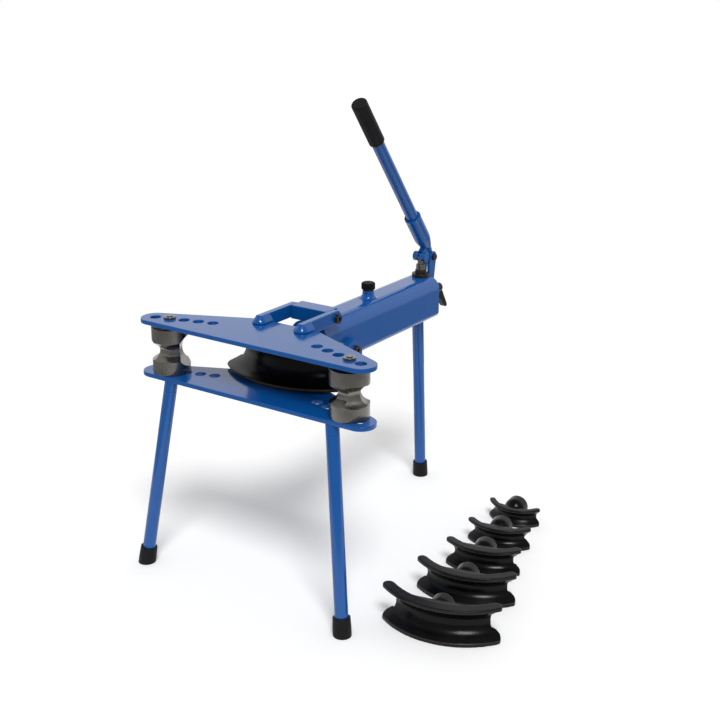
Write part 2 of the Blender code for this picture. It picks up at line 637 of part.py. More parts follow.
def cylinder_and_ram():
    """Pressure cylinder, front cap, wiper, ram, seal and return spring."""
    along = (0, 1, 0)
    cap_front = BODY_FRONT - GAP - FRONT_CAP_FLANGE
    rod_bore = RAM_RADIUS + BORE_CLEARANCE
    spigot = BODY_BORE_RADIUS - GAP
    cap_end = FRONT_CAP_FLANGE + FRONT_CAP_SPIGOT
    recess = WIPER_RADIUS + GAP
    turned("front_cap", [(rod_bore, cap_end), (spigot, cap_end), (spigot, FRONT_CAP_FLANGE),
                         (FRONT_CAP_RADIUS, FRONT_CAP_FLANGE), (FRONT_CAP_RADIUS, 0), (recess, 0),
                         (recess, WIPER_LENGTH + GAP), (rod_bore, WIPER_LENGTH + GAP)],
           (0, cap_front, CENTRE_Z), along, BLUE, BIG_ROUND_SEGMENTS)
    turned("ram_wiper", [(rod_bore, WIPER_LENGTH), (WIPER_RADIUS, WIPER_LENGTH), (WIPER_RADIUS, 0), (rod_bore, 0)],
           (0, cap_front, CENTRE_Z), along, SEAL)
    tube_start = cap_front + cap_end + GAP
    tube_length = BODY_REAR - PUMP_BLOCK_LENGTH - GAP - tube_start
    tube_outer = CYLINDER_BORE_RADIUS + CYLINDER_WALL
    turned("pressure_cylinder", [(CYLINDER_BORE_RADIUS, tube_length), (tube_outer, tube_length), (tube_outer, 0),
                                 (CYLINDER_BORE_RADIUS, 0)],
           (0, tube_start, CENTRE_Z), along, STEEL, BIG_ROUND_SEGMENTS)
    nose_y = MOUNTED_FORMER_Y + PIPE_SIZES[0] / 2 + HUB_FRONT_WALL + HUB_LENGTH - SOCKET_DEPTH + GAP
    ram_end = BODY_REAR - PUMP_BLOCK_LENGTH - PISTON_TRAVEL_BEHIND
    length = ram_end - nose_y
    piston_radius = CYLINDER_BORE_RADIUS - BORE_CLEARANCE
    groove = piston_radius - SEAL_DEPTH
    crown = length - PISTON_LENGTH
    seal_low = length - PISTON_LENGTH / 2 - SEAL_WIDTH / 2
    seal_high = seal_low + SEAL_WIDTH
    chamfer = 2 * MM
    ram = turned("ram", [(0, length), (piston_radius, length), (piston_radius, seal_high + GAP),
                         (groove, seal_high + GAP), (groove, seal_low - GAP), (piston_radius, seal_low - GAP),
                         (piston_radius, crown), (RAM_RADIUS, crown), (RAM_RADIUS, chamfer),
                         (RAM_RADIUS - chamfer, 0), (0, 0)],
                 (0, nose_y, CENTRE_Z), along, STEEL, BIG_ROUND_SEGMENTS)
    seal = turned("piston_seal", [(groove + GAP, seal_high), (piston_radius, seal_high), (piston_radius, seal_low),
                                  (groove + GAP, seal_low)],
                  (0, nose_y, CENTRE_Z), along, SEAL, BIG_ROUND_SEGMENTS)
    pivot("ram_axis", (0, nose_y, CENTRE_Z), ram, seal)
    spring_start = tube_start + SPRING_WIRE_RADIUS
    spring_end = nose_y + crown - GAP - SPRING_WIRE_RADIUS
    mean_radius = (RAM_RADIUS + CYLINDER_BORE_RADIUS) / 2
    return_spring(spring_start, spring_end, mean_radius)


def return_spring(start, end, radius):
    """Coil between the front cap and the piston, round the ram."""
    curve = bpy.data.curves.new("return_spring", "CURVE")
    curve.dimensions = "3D"
    curve.bevel_depth = SPRING_WIRE_RADIUS
    curve.bevel_resolution = 1
    curve.use_fill_caps = True
    curve.resolution_u = 1
    spline = curve.splines.new("POLY")
    count = SPRING_TURNS * SPRING_POINTS_PER_TURN
    spline.points.add(count)
    for step in range(count + 1):
        angle = 2 * math.pi * step / SPRING_POINTS_PER_TURN
        y = start + (end - start) * step / count
        spline.points[step].co = (radius * math.cos(angle), y, CENTRE_Z + radius * math.sin(angle), 1)
    pitch = (end - start) / SPRING_TURNS
    print(f"return spring: least gap between turns {(pitch - 2 * SPRING_WIRE_RADIUS) / MM:.1f} mm")
    curve.materials.append(STEEL)
    coil = bpy.data.objects.new("return_spring", curve)
    PARTS.objects.link(coil)


def hex_bolt(name, start, inwards, length):
    """Hexagon-headed bolt; start is under its head, inwards the way its shank points."""
    start, inwards = Vector(start), Vector(inwards)
    shank = rod(name, BOLT_RADIUS, start - inwards * (BOLT_HEAD_HEIGHT / 2), start + inwards * length, DARK_STEEL, 16)
    head = rod(name + "_head", BOLT_HEAD_RADIUS, start - inwards * BOLT_HEAD_HEIGHT, start, segments=6)
    return join(shank, head)


def weld_foot(name, x, z):
    """Fillet of weld round an arm's nose and along its sides, over the plate."""
    bm = bmesh.new()
    half = ARM_THICKNESS / 2
    rear = HOLE_ROW_Y + PLATE_DEPTH_BEHIND_HOLES
    for spread, rise in ((WELD_FOOT_SPREAD, 0.0), (WELD_FOOT_SPREAD * 0.8, WELD_FOOT_HEIGHT * 0.35),
                         (WELD_FOOT_SPREAD * 0.1, WELD_FOOT_HEIGHT)):
        wide = half + spread
        nose = (x, UPPER_ARM_FRONT - spread + wide)
        outline = arc(nose, wide, math.pi, 2 * math.pi, 12) + [(x + wide, rear), (x - wide, rear)]
        for px, py in outline:
            bm.verts.new((px, py, z + rise))
    shell = bmesh.ops.convex_hull(bm, input=bm.verts)
    inner = [v for v in shell["geom_interior"] if isinstance(v, bmesh.types.BMVert)]
    bmesh.ops.delete(bm, geom=inner, context="VERTS")
    return from_bmesh(name, bm)


def arms():
    """Arms on both plates, the hinge block, the lower bar, and the bolts."""
    rear_edge = HOLE_ROW_Y + PLATE_DEPTH_BEHIND_HOLES + GAP
    on_plate = UPPER_PLATE_TOP + GAP
    end_round = (UPPER_ARM_TOP - UPPER_ARM_BOTTOM) / 2
    round_y = UPPER_ARM_REAR - end_round
    upper = [(UPPER_ARM_FRONT, on_plate), (rear_edge, on_plate), (rear_edge, UPPER_ARM_BOTTOM),
             (round_y, UPPER_ARM_BOTTOM)]
    upper += arc((round_y, UPPER_ARM_BOTTOM + end_round), end_round, -math.pi / 2, math.pi / 2, 8)[1:]
    upper.append((UPPER_ARM_FRONT, UPPER_ARM_TOP))
    under = LOWER_PLATE_TOP - PLATE_THICKNESS - GAP
    low = under - LOWER_ARM_HEIGHT
    lower = [(LOWER_ARM_FRONT, low), (LOWER_BOLT_Y - 2 * LOWER_ARM_HEIGHT, low), (LOWER_ARM_REAR, BODY_BOTTOM)]
    lower += arc((LOWER_BOLT_Y, LOWER_BOLT_Z), LOWER_ARM_REAR - LOWER_BOLT_Y, 0, 2 * math.pi / 3, 7)
    lower += [(rear_edge + LOWER_ARM_HEIGHT, LOWER_PLATE_TOP), (rear_edge, LOWER_PLATE_TOP - PLATE_THICKNESS / 2),
              (rear_edge, under), (LOWER_ARM_FRONT, under)]
    block_rear = BODY_FRONT + HINGE_BLOCK_LENGTH
    half = BODY_WIDTH / 2
    hinge = block("hinge_block", (-half, BODY_FRONT, BODY_TOP + GAP), (half, block_rear, UPPER_ARM_TOP), BLUE)
    block("lower_bar", (-half, BODY_FRONT, low), (half, BODY_FRONT + LOWER_BAR_LENGTH, BODY_BOTTOM - GAP), BLUE)
    for label, side in (("left", -1), ("right", 1)):
        x = side * ARM_X
        outer = x + side * (ARM_THICKNESS / 2 + GAP)
        upper_hole = circle((UPPER_BOLT_Y, UPPER_BOLT_Z), BOLT_RADIUS + GAP, 16)
        lower_hole = circle((LOWER_BOLT_Y, LOWER_BOLT_Z), BOLT_RADIUS + GAP, 16)
        arm = extruded(f"upper_arm_{label}", [upper, upper_hole], ARM_THICKNESS, side_frame(x), BLUE)
        join(arm, weld_foot(f"weld_foot_{label}", x, on_plate + GAP))
        extruded(f"lower_arm_{label}", [lower, lower_hole], ARM_THICKNESS, side_frame(x), BLUE)
        inwards = (-side, 0, 0)
        reach = ARM_THICKNESS + GAP + BOLT_DEPTH
        hex_bolt(f"upper_bolt_{label}", (outer, UPPER_BOLT_Y, UPPER_BOLT_Z), inwards, reach)
        hex_bolt(f"lower_bolt_{label}", (outer, LOWER_BOLT_Y, LOWER_BOLT_Z), inwards, reach)
        hole_end = side * (half - BOLT_DEPTH - GAP)
        cut(hinge, rod(f"hinge_hole_{label}", BOLT_RADIUS + GAP, (side * (half + GAP), UPPER_BOLT_Y, UPPER_BOLT_Z),
                       (hole_end, UPPER_BOLT_Y, UPPER_BOLT_Z), segments=16))


def filler():
    """Filler neck, its seal and its screw cap."""
    base = BODY_TOP + GAP
    neck_top = FILLER_HEIGHT
    weld = FILLER_WELD_RADIUS - FILLER_RADIUS
    turned("filler_neck", [(FILLER_BORE_RADIUS, neck_top), (FILLER_RADIUS, neck_top), (FILLER_RADIUS, weld),
                           (FILLER_WELD_RADIUS, 0), (FILLER_BORE_RADIUS, 0)],
           (0, FILLER_Y, base), (0, 0, 1), BLUE)
    seal_base = base + neck_top + GAP
    plug = FILLER_BORE_RADIUS - GAP
    seal = turned("filler_seal", [(plug + GAP, FILLER_SEAL_HEIGHT), (FILLER_RADIUS, FILLER_SEAL_HEIGHT),
                                  (FILLER_RADIUS, 0), (plug + GAP, 0)],
                  (0, FILLER_Y, seal_base), (0, 0, 1), SEAL)
    cap_base = seal_base + FILLER_SEAL_HEIGHT + GAP
    chamfer = 2 * MM
    cap = turned("filler_cap", [(0, FILLER_CAP_HEIGHT), (FILLER_CAP_RADIUS - chamfer, FILLER_CAP_HEIGHT),
                                (FILLER_CAP_RADIUS, FILLER_CAP_HEIGHT - chamfer), (FILLER_CAP_RADIUS, 0),
                                (plug, 0), (plug, -FILLER_PLUG_LENGTH), (0, -FILLER_PLUG_LENGTH)],
                 (0, FILLER_Y, cap_base), (0, 0, 1), RUBBER)
    pivot("filler_cap_axis", (0, FILLER_Y, cap_base), seal, cap)


def hand_pump():
    """Pump sleeve, gland nut, packing, piston and link pin."""
    up = (0, 0, 1)
    bore = PUMP_PISTON_RADIUS + BORE_CLEARANCE
    outer = bore + PUMP_SLEEVE_WALL
    depth = PUMP_SLEEVE_DEPTH - GAP
    sleeve_base = BODY_TOP - PUMP_SLEEVE_DEPTH
    turned("pump_sleeve", [(bore, depth), (outer, depth), (outer, 0), (0, 0), (0, PUMP_SLEEVE_FLOOR),
                           (bore, PUMP_SLEEVE_FLOOR)],
           (0, PUMP_Y, sleeve_base), up, STEEL)
    nut_base = BODY_TOP + GAP
    packing = bore + PACKING_THICKNESS
    nut = rod("gland_nut", GLAND_NUT_WIDTH / math.sqrt(3), (0, PUMP_Y, nut_base), (0, PUMP_Y, GLAND_TOP),
              DARK_STEEL, 6)
    cut(nut, rod("gland_nut_bore", bore, (0, PUMP_Y, nut_base - GAP), (0, PUMP_Y, GLAND_TOP + GAP)))
    cut(nut, rod("gland_nut_recess", packing + GAP, (0, PUMP_Y, nut_base - GAP),
                 (0, PUMP_Y, nut_base + PACKING_HEIGHT + GAP)))
    turned("pump_packing", [(bore, PACKING_HEIGHT), (packing, PACKING_HEIGHT), (packing, 0), (bore, 0)],
           (0, PUMP_Y, nut_base), up, SEAL)
    foot = BODY_TOP + GAP - PUMP_PISTON_FOOT
    shoulder = BODY_TOP + PUMP_PISTON_REACH
    piston = rod("pump_piston", PUMP_PISTON_RADIUS, (0, PUMP_Y, foot), (0, PUMP_Y, shoulder), STEEL)
    tongue = [(PUMP_Y - TONGUE_RADIUS, shoulder - TONGUE_RADIUS), (PUMP_Y + TONGUE_RADIUS, shoulder - TONGUE_RADIUS)]
    tongue += arc((PUMP_Y, LINK_Z), TONGUE_RADIUS, 0, math.pi, 8)
    hole = circle((PUMP_Y, LINK_Z), LINK_PIN_RADIUS + GAP, 16)
    join(piston, extruded("pump_tongue", [tongue, hole], TONGUE_THICKNESS, side_frame(0)))
    half = LEVER_HEAD / 2
    link = rod("link_pin", LINK_PIN_RADIUS, (-half, PUMP_Y, LINK_Z), (half, PUMP_Y, LINK_Z), DARK_STEEL, 16)
    pivot("pump_piston_axis", (0, PUMP_Y, LINK_Z), piston, link)


def on_handle(distance):
    """Point on the handle's axis, measured from abreast of the lever's pivot."""
    return HANDLE_ORIGIN + HANDLE_DIRECTION * distance


def pump_lever():
    """Ears, pivot bolt, lever with its socket, handle tube and grip."""
    ear_front = BODY_REAR + GAP
    ear_foot = BODY_TOP - EAR_FOOT_DROP
    ear_waist = PIVOT_Y - 0.8 * EAR_RADIUS
    ear = [(ear_front, ear_foot), (ear_front + EAR_FOOT_DEPTH, ear_foot)]
    ear += arc((PIVOT_Y, PIVOT_Z), EAR_RADIUS, 0, math.pi, 10)
    ear += [(ear_waist, PIVOT_Z - EAR_RADIUS), (ear_waist, (PIVOT_Z + BODY_TOP) / 2 - EAR_RADIUS),
            (ear_front, BODY_TOP - EAR_FOOT_DROP / 2)]
    ear_hole = circle((PIVOT_Y, PIVOT_Z), PIVOT_RADIUS + GAP, 16)
    ear_x = LEVER_WEB / 2 + GAP + EAR_THICKNESS / 2
    for label, side in (("left", -1), ("right", 1)):
        extruded(f"pivot_ear_{label}", [ear, ear_hole], EAR_THICKNESS, side_frame(side * ear_x), BLUE)
    reach = ear_x + EAR_THICKNESS / 2 + GAP
    bolt = rod("pivot_bolt", PIVOT_RADIUS, (-reach - GAP, PIVOT_Y, PIVOT_Z), (reach + GAP, PIVOT_Y, PIVOT_Z),
               DARK_STEEL, 16)
    for side in (-1, 1):
        join(bolt, rod(f"pivot_bolt_head_{side}", PIVOT_HEAD_RADIUS, (side * reach, PIVOT_Y, PIVOT_Z),
                       (side * (reach + PIVOT_HEAD_HEIGHT), PIVOT_Y, PIVOT_Z), segments=6))
    link_reach = math.hypot(PIVOT_Y - PUMP_Y, LINK_RISE)
    towards_link = Vector((PUMP_Y - PIVOT_Y, LINK_RISE)) / link_reach
    link_centre = Vector((PIVOT_Y, PIVOT_Z)) + towards_link * (link_reach + LINK_SLOT_TRAVEL / 3)
    across = Vector((math.cos(HANDLE_LEAN), math.sin(HANDLE_LEAN)))
    neck = Vector(on_handle(SOCKET_START + SOCKET_FLOOR / 2).yz)
    neck_ends = [tuple(neck + across * (side * 0.72 * SOCKET_RADIUS)) for side in (-1, 1)]
    web = hull(circle((PIVOT_Y, PIVOT_Z), LEVER_HUB_RADIUS) + neck_ends)
    head = hull(circle(tuple(link_centre), LEVER_NOSE_RADIUS) + neck_ends)
    lever = extruded("pump_lever", [head], LEVER_HEAD, side_frame(0), BLUE)
    join(lever, extruded("lever_web", [web], LEVER_WEB, side_frame(0)),
         rod("lever_socket", SOCKET_RADIUS, on_handle(SOCKET_START), on_handle(SOCKET_END)))
    slot_half = TONGUE_THICKNESS / 2 + GAP
    slot_top = LINK_Z + TONGUE_RADIUS + 2 * MM
    cut(lever, block("lever_fork", (-slot_half, PUMP_Y - 3 * LEVER_NOSE_RADIUS, BODY_TOP),
                     (slot_half, PUMP_Y + TONGUE_RADIUS + 3 * MM, slot_top)))
    slot_radius = LINK_PIN_RADIUS + LINK_CLEARANCE
    slot = [tuple(link_centre + towards_link * (side * LINK_SLOT_TRAVEL)) for side in (-1, 1)]
    slot_outline = hull(circle(slot[0], slot_radius, 16) + circle(slot[1], slot_radius, 16))
    cut(lever, extruded("lever_link_slot", [slot_outline], LEVER_HEAD + 2 * MM, side_frame(0)),
        rod("lever_pivot_hole", PIVOT_RADIUS + GAP, (-LEVER_WEB, PIVOT_Y, PIVOT_Z), (LEVER_WEB, PIVOT_Y, PIVOT_Z),
            segments=16),
        rod("lever_bore", HANDLE_RADIUS + BORE_CLEARANCE, on_handle(SOCKET_START + SOCKET_FLOOR),
            on_handle(SOCKET_END + GAP)))
    pivot("pump_lever_axis", (0, PIVOT_Y, PIVOT_Z), lever)
    handle()


def handle():
    """Loose tube in the lever's socket, with its rubber grip."""
    start = SOCKET_START + SOCKET_FLOOR + GAP
    length = HANDLE_END - start
    inner = HANDLE_RADIUS - HANDLE_WALL
    tube = turned("handle_tube", [(inner, length), (HANDLE_RADIUS, length), (HANDLE_RADIUS, 0), (inner, 0)],
                  on_handle(start), HANDLE_DIRECTION, BLUE)
    grip_bore = HANDLE_RADIUS + GAP
    cover = HANDLE_END + GAP - GRIP_START
    rounding = 4 * MM
    grip = turned("handle_grip", [(0, GRIP_LENGTH), (GRIP_RADIUS - rounding, GRIP_LENGTH),
                                  (GRIP_RADIUS, GRIP_LENGTH - rounding), (GRIP_RADIUS, rounding / 2),
                                  (GRIP_RADIUS - rounding / 2, 0), (grip_bore, 0), (grip_bore, cover), (0, cover)],
                  on_handle(GRIP_START), HANDLE_DIRECTION, RUBBER)
    pivot("handle_axis", on_handle(start), tube, grip)


def release_valve():
    """Spindle in the pump block, with its curved lever behind the casing."""
    hub_start = BODY_REAR + GAP
    spindle = rod("release_spindle", VALVE_SPINDLE_RADIUS, (VALVE_X, BODY_REAR - VALVE_SPINDLE_DEPTH, VALVE_Z),
                  (VALVE_X, hub_start + VALVE_HUB_LENGTH + MM, VALVE_Z), STEEL, 16)
    hub_middle = hub_start + VALVE_HUB_LENGTH / 2
    half = VALVE_BLADE_WIDTH / 2
    tip = (hub_start + VALVE_BLADE_REACH - VALVE_BLADE_TIP, VALVE_Z - VALVE_BLADE_DROP + VALVE_BLADE_TIP)
    knee = (hub_start + VALVE_BLADE_REACH / 2, VALVE_Z - VALVE_BLADE_DROP / 3)
    blade = hull(circle(knee, half, 12) + circle(tip, VALVE_BLADE_TIP, 12))
    root = hull(circle(knee, half, 12) + [(hub_start, VALVE_Z - half), (hub_start, VALVE_Z + half),
                                          (hub_middle, VALVE_Z + half)])
    lever = rod("release_lever", VALVE_HUB_RADIUS, (VALVE_X, hub_start, VALVE_Z),
                (VALVE_X, hub_start + VALVE_HUB_LENGTH, VALVE_Z), BLACK_CASTING)
    join(lever, extruded("release_root", [root], VALVE_BLADE_THICKNESS, side_frame(VALVE_X)),
         extruded("release_blade", [blade], VALVE_BLADE_THICKNESS, side_frame(VALVE_X)))
    cut(lever, rod("release_lever_hole", VALVE_SPINDLE_RADIUS + GAP, (VALVE_X, hub_start - GAP, VALVE_Z),
                   (VALVE_X, hub_start + VALVE_BLADE_REACH, VALVE_Z), segments=16))
    pivot("release_lever_axis", (VALVE_X, hub_start, VALVE_Z), spindle, lever)


def leg(label, top, foot):
    """Stub under the machine, leg tube screwed over it, rubber foot cut flat on the floor."""
    top, foot = Vector(top), Vector(foot)
    down = (foot - top).normalized()
    start = top - down * STUB_COLLAR
    seam = STUB_COLLAR * 2
    spigot = LEG_RADIUS - LEG_WALL - GAP
    stub = turned(f"leg_stub_{label}", [(0, seam + STUB_SPIGOT), (spigot, seam + STUB_SPIGOT), (spigot, seam),
                                        (LEG_RADIUS, seam), (LEG_RADIUS, 0), (0, 0)], start, down, BLUE)
    reach = 3 * LEG_RADIUS
    cut(stub, block(f"leg_stub_{label}_cut", (top.x - reach, top.y - reach, top.z),
                    (top.x + reach, top.y + reach, top.z + reach)))
    tube_start = top + down * (STUB_COLLAR + GAP)
    tube_length = (foot - tube_start).length - FOOT_FLOOR
    inner = LEG_RADIUS - LEG_WALL
    turned(f"leg_{label}", [(inner, tube_length), (LEG_RADIUS, tube_length), (LEG_RADIUS, 0), (inner, 0)],
           tube_start, down, BLUE)
    rounding = 2.5 * MM
    bore = LEG_RADIUS + GAP
    foot_top = foot - down * FOOT_HEIGHT
    full = FOOT_HEIGHT + FOOT_FLOOR
    bottom = FOOT_HEIGHT - FOOT_FLOOR + GAP
    rubber = turned(f"foot_{label}", [(0, full), (FOOT_RADIUS, full), (FOOT_RADIUS, rounding),
                                      (FOOT_RADIUS - rounding, 0), (bore, 0), (bore, bottom), (0, bottom)],
                    foot_top, down, RUBBER)
    cut(rubber, block(f"foot_{label}_floor", (foot.x - reach, foot.y - reach, -reach),
                      (foot.x + reach, foot.y + reach, 0)))


def build():
    """Model every piece of the bender."""
    bending_plate("lower_plate", LOWER_PLATE_TOP)
    bending_plate("upper_plate", UPPER_PLATE_TOP)
    for label, side in (("left", -1), ("right", 1)):
        counter_former(f"counter_former_{label}", side)
        pin(f"pin_{label}", side)
        top = (side * FRONT_LEG_X, HOLE_ROW_Y - FRONT_LEG_LEAD, LOWER_PLATE_TOP - PLATE_THICKNESS - GAP)
        leg(f"front_{label}", top, (side * FRONT_FOOT_X, HOLE_ROW_Y - FRONT_FOOT_LEAD, 0))
    leg("rear", (0, BODY_REAR - REAR_LEG_INSET, BODY_BOTTOM - GAP), (0, 0, 0))
    mounted_former()
    loose_formers()
    casing()
    cylinder_and_ram()
    arms()
    filler()
    hand_pump()
    pump_lever()
    release_valve()


build()
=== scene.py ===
"""Looks of a hydraulic pipe bender: blue enamelled frame, black cast formers and machined steel.

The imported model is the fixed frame. Every piece made here stands in the space that its solid holds, and its
place is in its mesh.
"""

import json
import logging
import math
from collections.abc import Iterable, Sequence
from dataclasses import dataclass
from enum import Enum

import bmesh
import bpy
from mathutils import Matrix, Vector


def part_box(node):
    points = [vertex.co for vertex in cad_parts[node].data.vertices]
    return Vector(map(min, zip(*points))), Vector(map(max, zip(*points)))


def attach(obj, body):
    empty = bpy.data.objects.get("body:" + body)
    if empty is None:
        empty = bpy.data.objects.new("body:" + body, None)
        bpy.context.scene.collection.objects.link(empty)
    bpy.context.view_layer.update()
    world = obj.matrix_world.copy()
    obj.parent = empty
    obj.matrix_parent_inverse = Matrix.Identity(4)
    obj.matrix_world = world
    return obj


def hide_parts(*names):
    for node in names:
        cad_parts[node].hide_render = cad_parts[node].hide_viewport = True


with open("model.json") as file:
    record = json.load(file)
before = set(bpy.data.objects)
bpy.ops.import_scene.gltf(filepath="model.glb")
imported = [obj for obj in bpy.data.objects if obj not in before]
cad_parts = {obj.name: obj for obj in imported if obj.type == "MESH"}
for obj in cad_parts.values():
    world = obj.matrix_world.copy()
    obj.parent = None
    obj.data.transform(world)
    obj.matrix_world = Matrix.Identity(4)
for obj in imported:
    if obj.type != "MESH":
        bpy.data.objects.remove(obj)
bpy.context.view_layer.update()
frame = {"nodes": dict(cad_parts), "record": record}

LOG = logging.getLogger("pipe_bender")
MM = 0.001
GAP = 0.3 * MM
WAVE_LENGTH = 0.314
BROAD_SHARE = 0.08

Point2 = tuple[float, float]


def linear(code: str) -> tuple[float, float, float, float]:
    """Turn an sRGB hex colour into linear values.

    Args:
        code: six hex digits.

    Returns:
        Linear red, green and blue, and an alpha of 1.
    """
    values = []
    for start in (0, 2, 4):
        part = int(code[start:start + 2], 16) / 255
        values.append(part / 12.92 if part <= 0.04045 else ((part + 0.055) / 1.055) ** 2.4)
    return (*values, 1.0)


def add_node(tree: bpy.types.NodeTree, kind: str, settings: dict | None = None,
             inputs: dict | None = None) -> bpy.types.Node:
    """Add a node with its settings and links.

    Args:
        tree: the tree that takes the node.
        kind: the node's type name.
        settings: attributes to set.
        inputs: by socket name or number, a value or another node's output.

    Returns:
        The new node.
    """
    node = tree.nodes.new(kind)
    for name, value in (settings or {}).items():
        setattr(node, name, value)
    for name, value in (inputs or {}).items():
        socket = node.inputs[name]
        if isinstance(value, bpy.types.NodeSocket):
            tree.links.new(value, socket)
        else:
            socket.default_value = value
    return node


class Slot(Enum):
    """The record's material slots."""

    ENAMEL = "blue_enamel"
    CASTING = "black_casting"
    STEEL = "machined_steel"
    BLACKENED = "blackened_steel"
    RUBBER = "black_rubber"
    SEAL = "seal_rubber"


@dataclass(frozen=True)
class Finish:
    """What every surface here has: a colour, a gloss and a grain that is pressed into it."""

    slot: Slot
    colour: str
    roughness: float
    metallic: float = 0.0
    grain: float = 4 * MM
    grain_height: float = 0.03 * MM
    tone: float = 0.06
    gloss_change: float = 0.06
    specular: float = 0.5
    coat: float = 0.0
    anisotropy: float = 0.0
    turned_lines: float = 0.0
    # colour laid over a point mask of the same name: real wear, and painted light where lit faces are marked
    wear_and_painted_light: str = ""

    def build(self) -> bpy.types.Material:
        """Make the material from noise in real sizes."""
        made = bpy.data.materials.new(self.slot.value)
        made.use_nodes = True
        tree = made.node_tree
        shader = tree.nodes["Principled BSDF"]
        place = add_node(tree, "ShaderNodeTexCoord").outputs["Object"]
        grain = add_node(tree, "ShaderNodeTexNoise", inputs={
            "Vector": place, "Scale": 1 / self.grain, "Detail": 3.0})
        broad = add_node(tree, "ShaderNodeTexNoise", inputs={"Vector": place, "Scale": BROAD_SHARE / self.grain})
        base = linear(self.colour)
        dark = tuple(c * (1 - self.tone) for c in base[:3]) + (1.0,)
        light = tuple(min(1.0, c * (1 + self.tone)) for c in base[:3]) + (1.0,)
        colour = add_node(tree, "ShaderNodeMix", {"data_type": "RGBA"},
                          {0: broad.outputs["Fac"], 6: dark, 7: light}).outputs[2]
        # painted light and wear: the mask lays a lighter colour on lit rim faces and on worn edges
        if self.wear_and_painted_light:
            mask = add_node(tree, "ShaderNodeAttribute", {"attribute_name": "wear_and_painted_light"}).outputs["Fac"]
            patchy = add_node(tree, "ShaderNodeMath", {"operation": "MULTIPLY"},
                              {0: mask, 1: grain.outputs["Fac"]})
            colour = add_node(tree, "ShaderNodeMix", {"data_type": "RGBA"},
                              {0: patchy.outputs[0], 6: colour, 7: linear(self.wear_and_painted_light)}).outputs[2]
        tree.links.new(colour, shader.inputs["Base Color"])
        gloss = add_node(tree, "ShaderNodeMapRange", inputs={
            "Value": broad.outputs["Fac"], "From Min": 0.3, "From Max": 0.7,
            "To Min": self.roughness - self.gloss_change, "To Max": self.roughness + self.gloss_change})
        tree.links.new(gloss.outputs[0], shader.inputs["Roughness"])
        height = grain.outputs["Fac"]
        if self.turned_lines:
            lines = add_node(tree, "ShaderNodeTexWave", {"bands_direction": "Z"},
                             {"Vector": place, "Scale": WAVE_LENGTH / self.turned_lines, "Distortion": 1.5,
                              "Detail": 2.0, "Detail Scale": 3.0})
            height = add_node(tree, "ShaderNodeMath", {"operation": "ADD"},
                              {0: lines.outputs["Fac"], 1: height}).outputs[0]
        bump = add_node(tree, "ShaderNodeBump", inputs={"Height": height, "Strength": 1.0,
                                                        "Distance": self.grain_height})
        tree.links.new(bump.outputs[0], shader.inputs["Normal"])
        shader.inputs["Metallic"].default_value = self.metallic
        shader.inputs["Specular IOR Level"].default_value = self.specular
        shader.inputs["Coat Weight"].default_value = self.coat
        shader.inputs["Coat Roughness"].default_value = self.roughness / 2
        shader.inputs["Anisotropic"].default_value = self.anisotropy
        return made


# Sprayed enamel over steel: deep blue, glossy; its orange peel of 2 mm is drawn at 7 mm so that it shows
ENAMEL = Finish(Slot.ENAMEL, "084F96", 0.16, grain=7 * MM, grain_height=0.012 * MM, tone=0.05,
                gloss_change=0.03, specular=0.4, coat=0.15)
# Black enamelled grey iron: sand-cast skin under a thin gloss that glints off its grains; its rims are painted a
# lighter brown-grey, real wear at the groove's mouth and painted light on the lit flange faces
CASTING = Finish(Slot.CASTING, "070707", 0.23, grain=3.2 * MM, grain_height=0.14 * MM, tone=0.3,
                 gloss_change=0.06, specular=0.17, wear_and_painted_light="5C544C")
# Turned and milled carbon steel: grey metal with the tool's rings, drawn at 1.6 mm so that they show
STEEL = Finish(Slot.STEEL, "86837E", 0.25, metallic=1.0, grain=3 * MM, grain_height=0.025 * MM, tone=0.28,
               anisotropy=0.5, turned_lines=1.6 * MM)
# Hot-blackened bolts and nuts: dark oxide, a little brown, with a dull sheen
BLACKENED = Finish(Slot.BLACKENED, "433D36", 0.38, metallic=0.85, grain=2 * MM, grain_height=0.04 * MM,
                   tone=0.2)
# Moulded black rubber: matte, slightly mottled
RUBBER = Finish(Slot.RUBBER, "0B0B0C", 0.6, grain=2.5 * MM, grain_height=0.05 * MM, tone=0.15, specular=0.22)
# Nitrile seals
SEAL = Finish(Slot.SEAL, "262627", 0.5, grain=2 * MM, grain_height=0.02 * MM, tone=0.1)


class Palette:
    """The built materials, one for each finish."""

    def __init__(self) -> None:
        """Build every finish once."""
        finishes = (ENAMEL, CASTING, STEEL, BLACKENED, RUBBER, SEAL)
        self.made = {finish.slot: finish.build() for finish in finishes}

    def dress_nodes(self) -> None:
        """Give each node of the frame the material that its slot in the record names."""
        for part in frame["record"]["subparts"]:
            node = frame["nodes"][part["node"]]
            node.data.materials.clear()
            node.data.materials.append(self.made[Slot(part["material_slot"])])


PALETTE = Palette()


def along(start: Sequence[float], direction: Sequence[float]) -> Matrix:
    """Place whose Z axis runs along a direction from a start point."""
    turn = Vector((0, 0, 1)).rotation_difference(Vector(direction)).to_matrix().to_4x4()
    return Matrix.Translation(start) @ turn


def side_place(x: float) -> Matrix:
    """Place of an outline drawn in Y and Z, at a given X."""
    return Matrix(((0, 0, 1, x), (1, 0, 0, 0), (0, 1, 0, 0), (0, 0, 0, 1)))


def arc(centre: Point2, radius: float, start: float, end: float, steps: int) -> list[Point2]:
    """Points of an arc, both ends included; angles in radians."""
    return [(centre[0] + radius * math.cos(start + (end - start) * i / steps),
             centre[1] + radius * math.sin(start + (end - start) * i / steps)) for i in range(steps + 1)]


def ring(centre: Point2, radius: float, steps: int = 64) -> list[Point2]:
    """Points of a whole circle."""
    return arc(centre, radius, 0, 2 * math.pi, steps)[:-1]


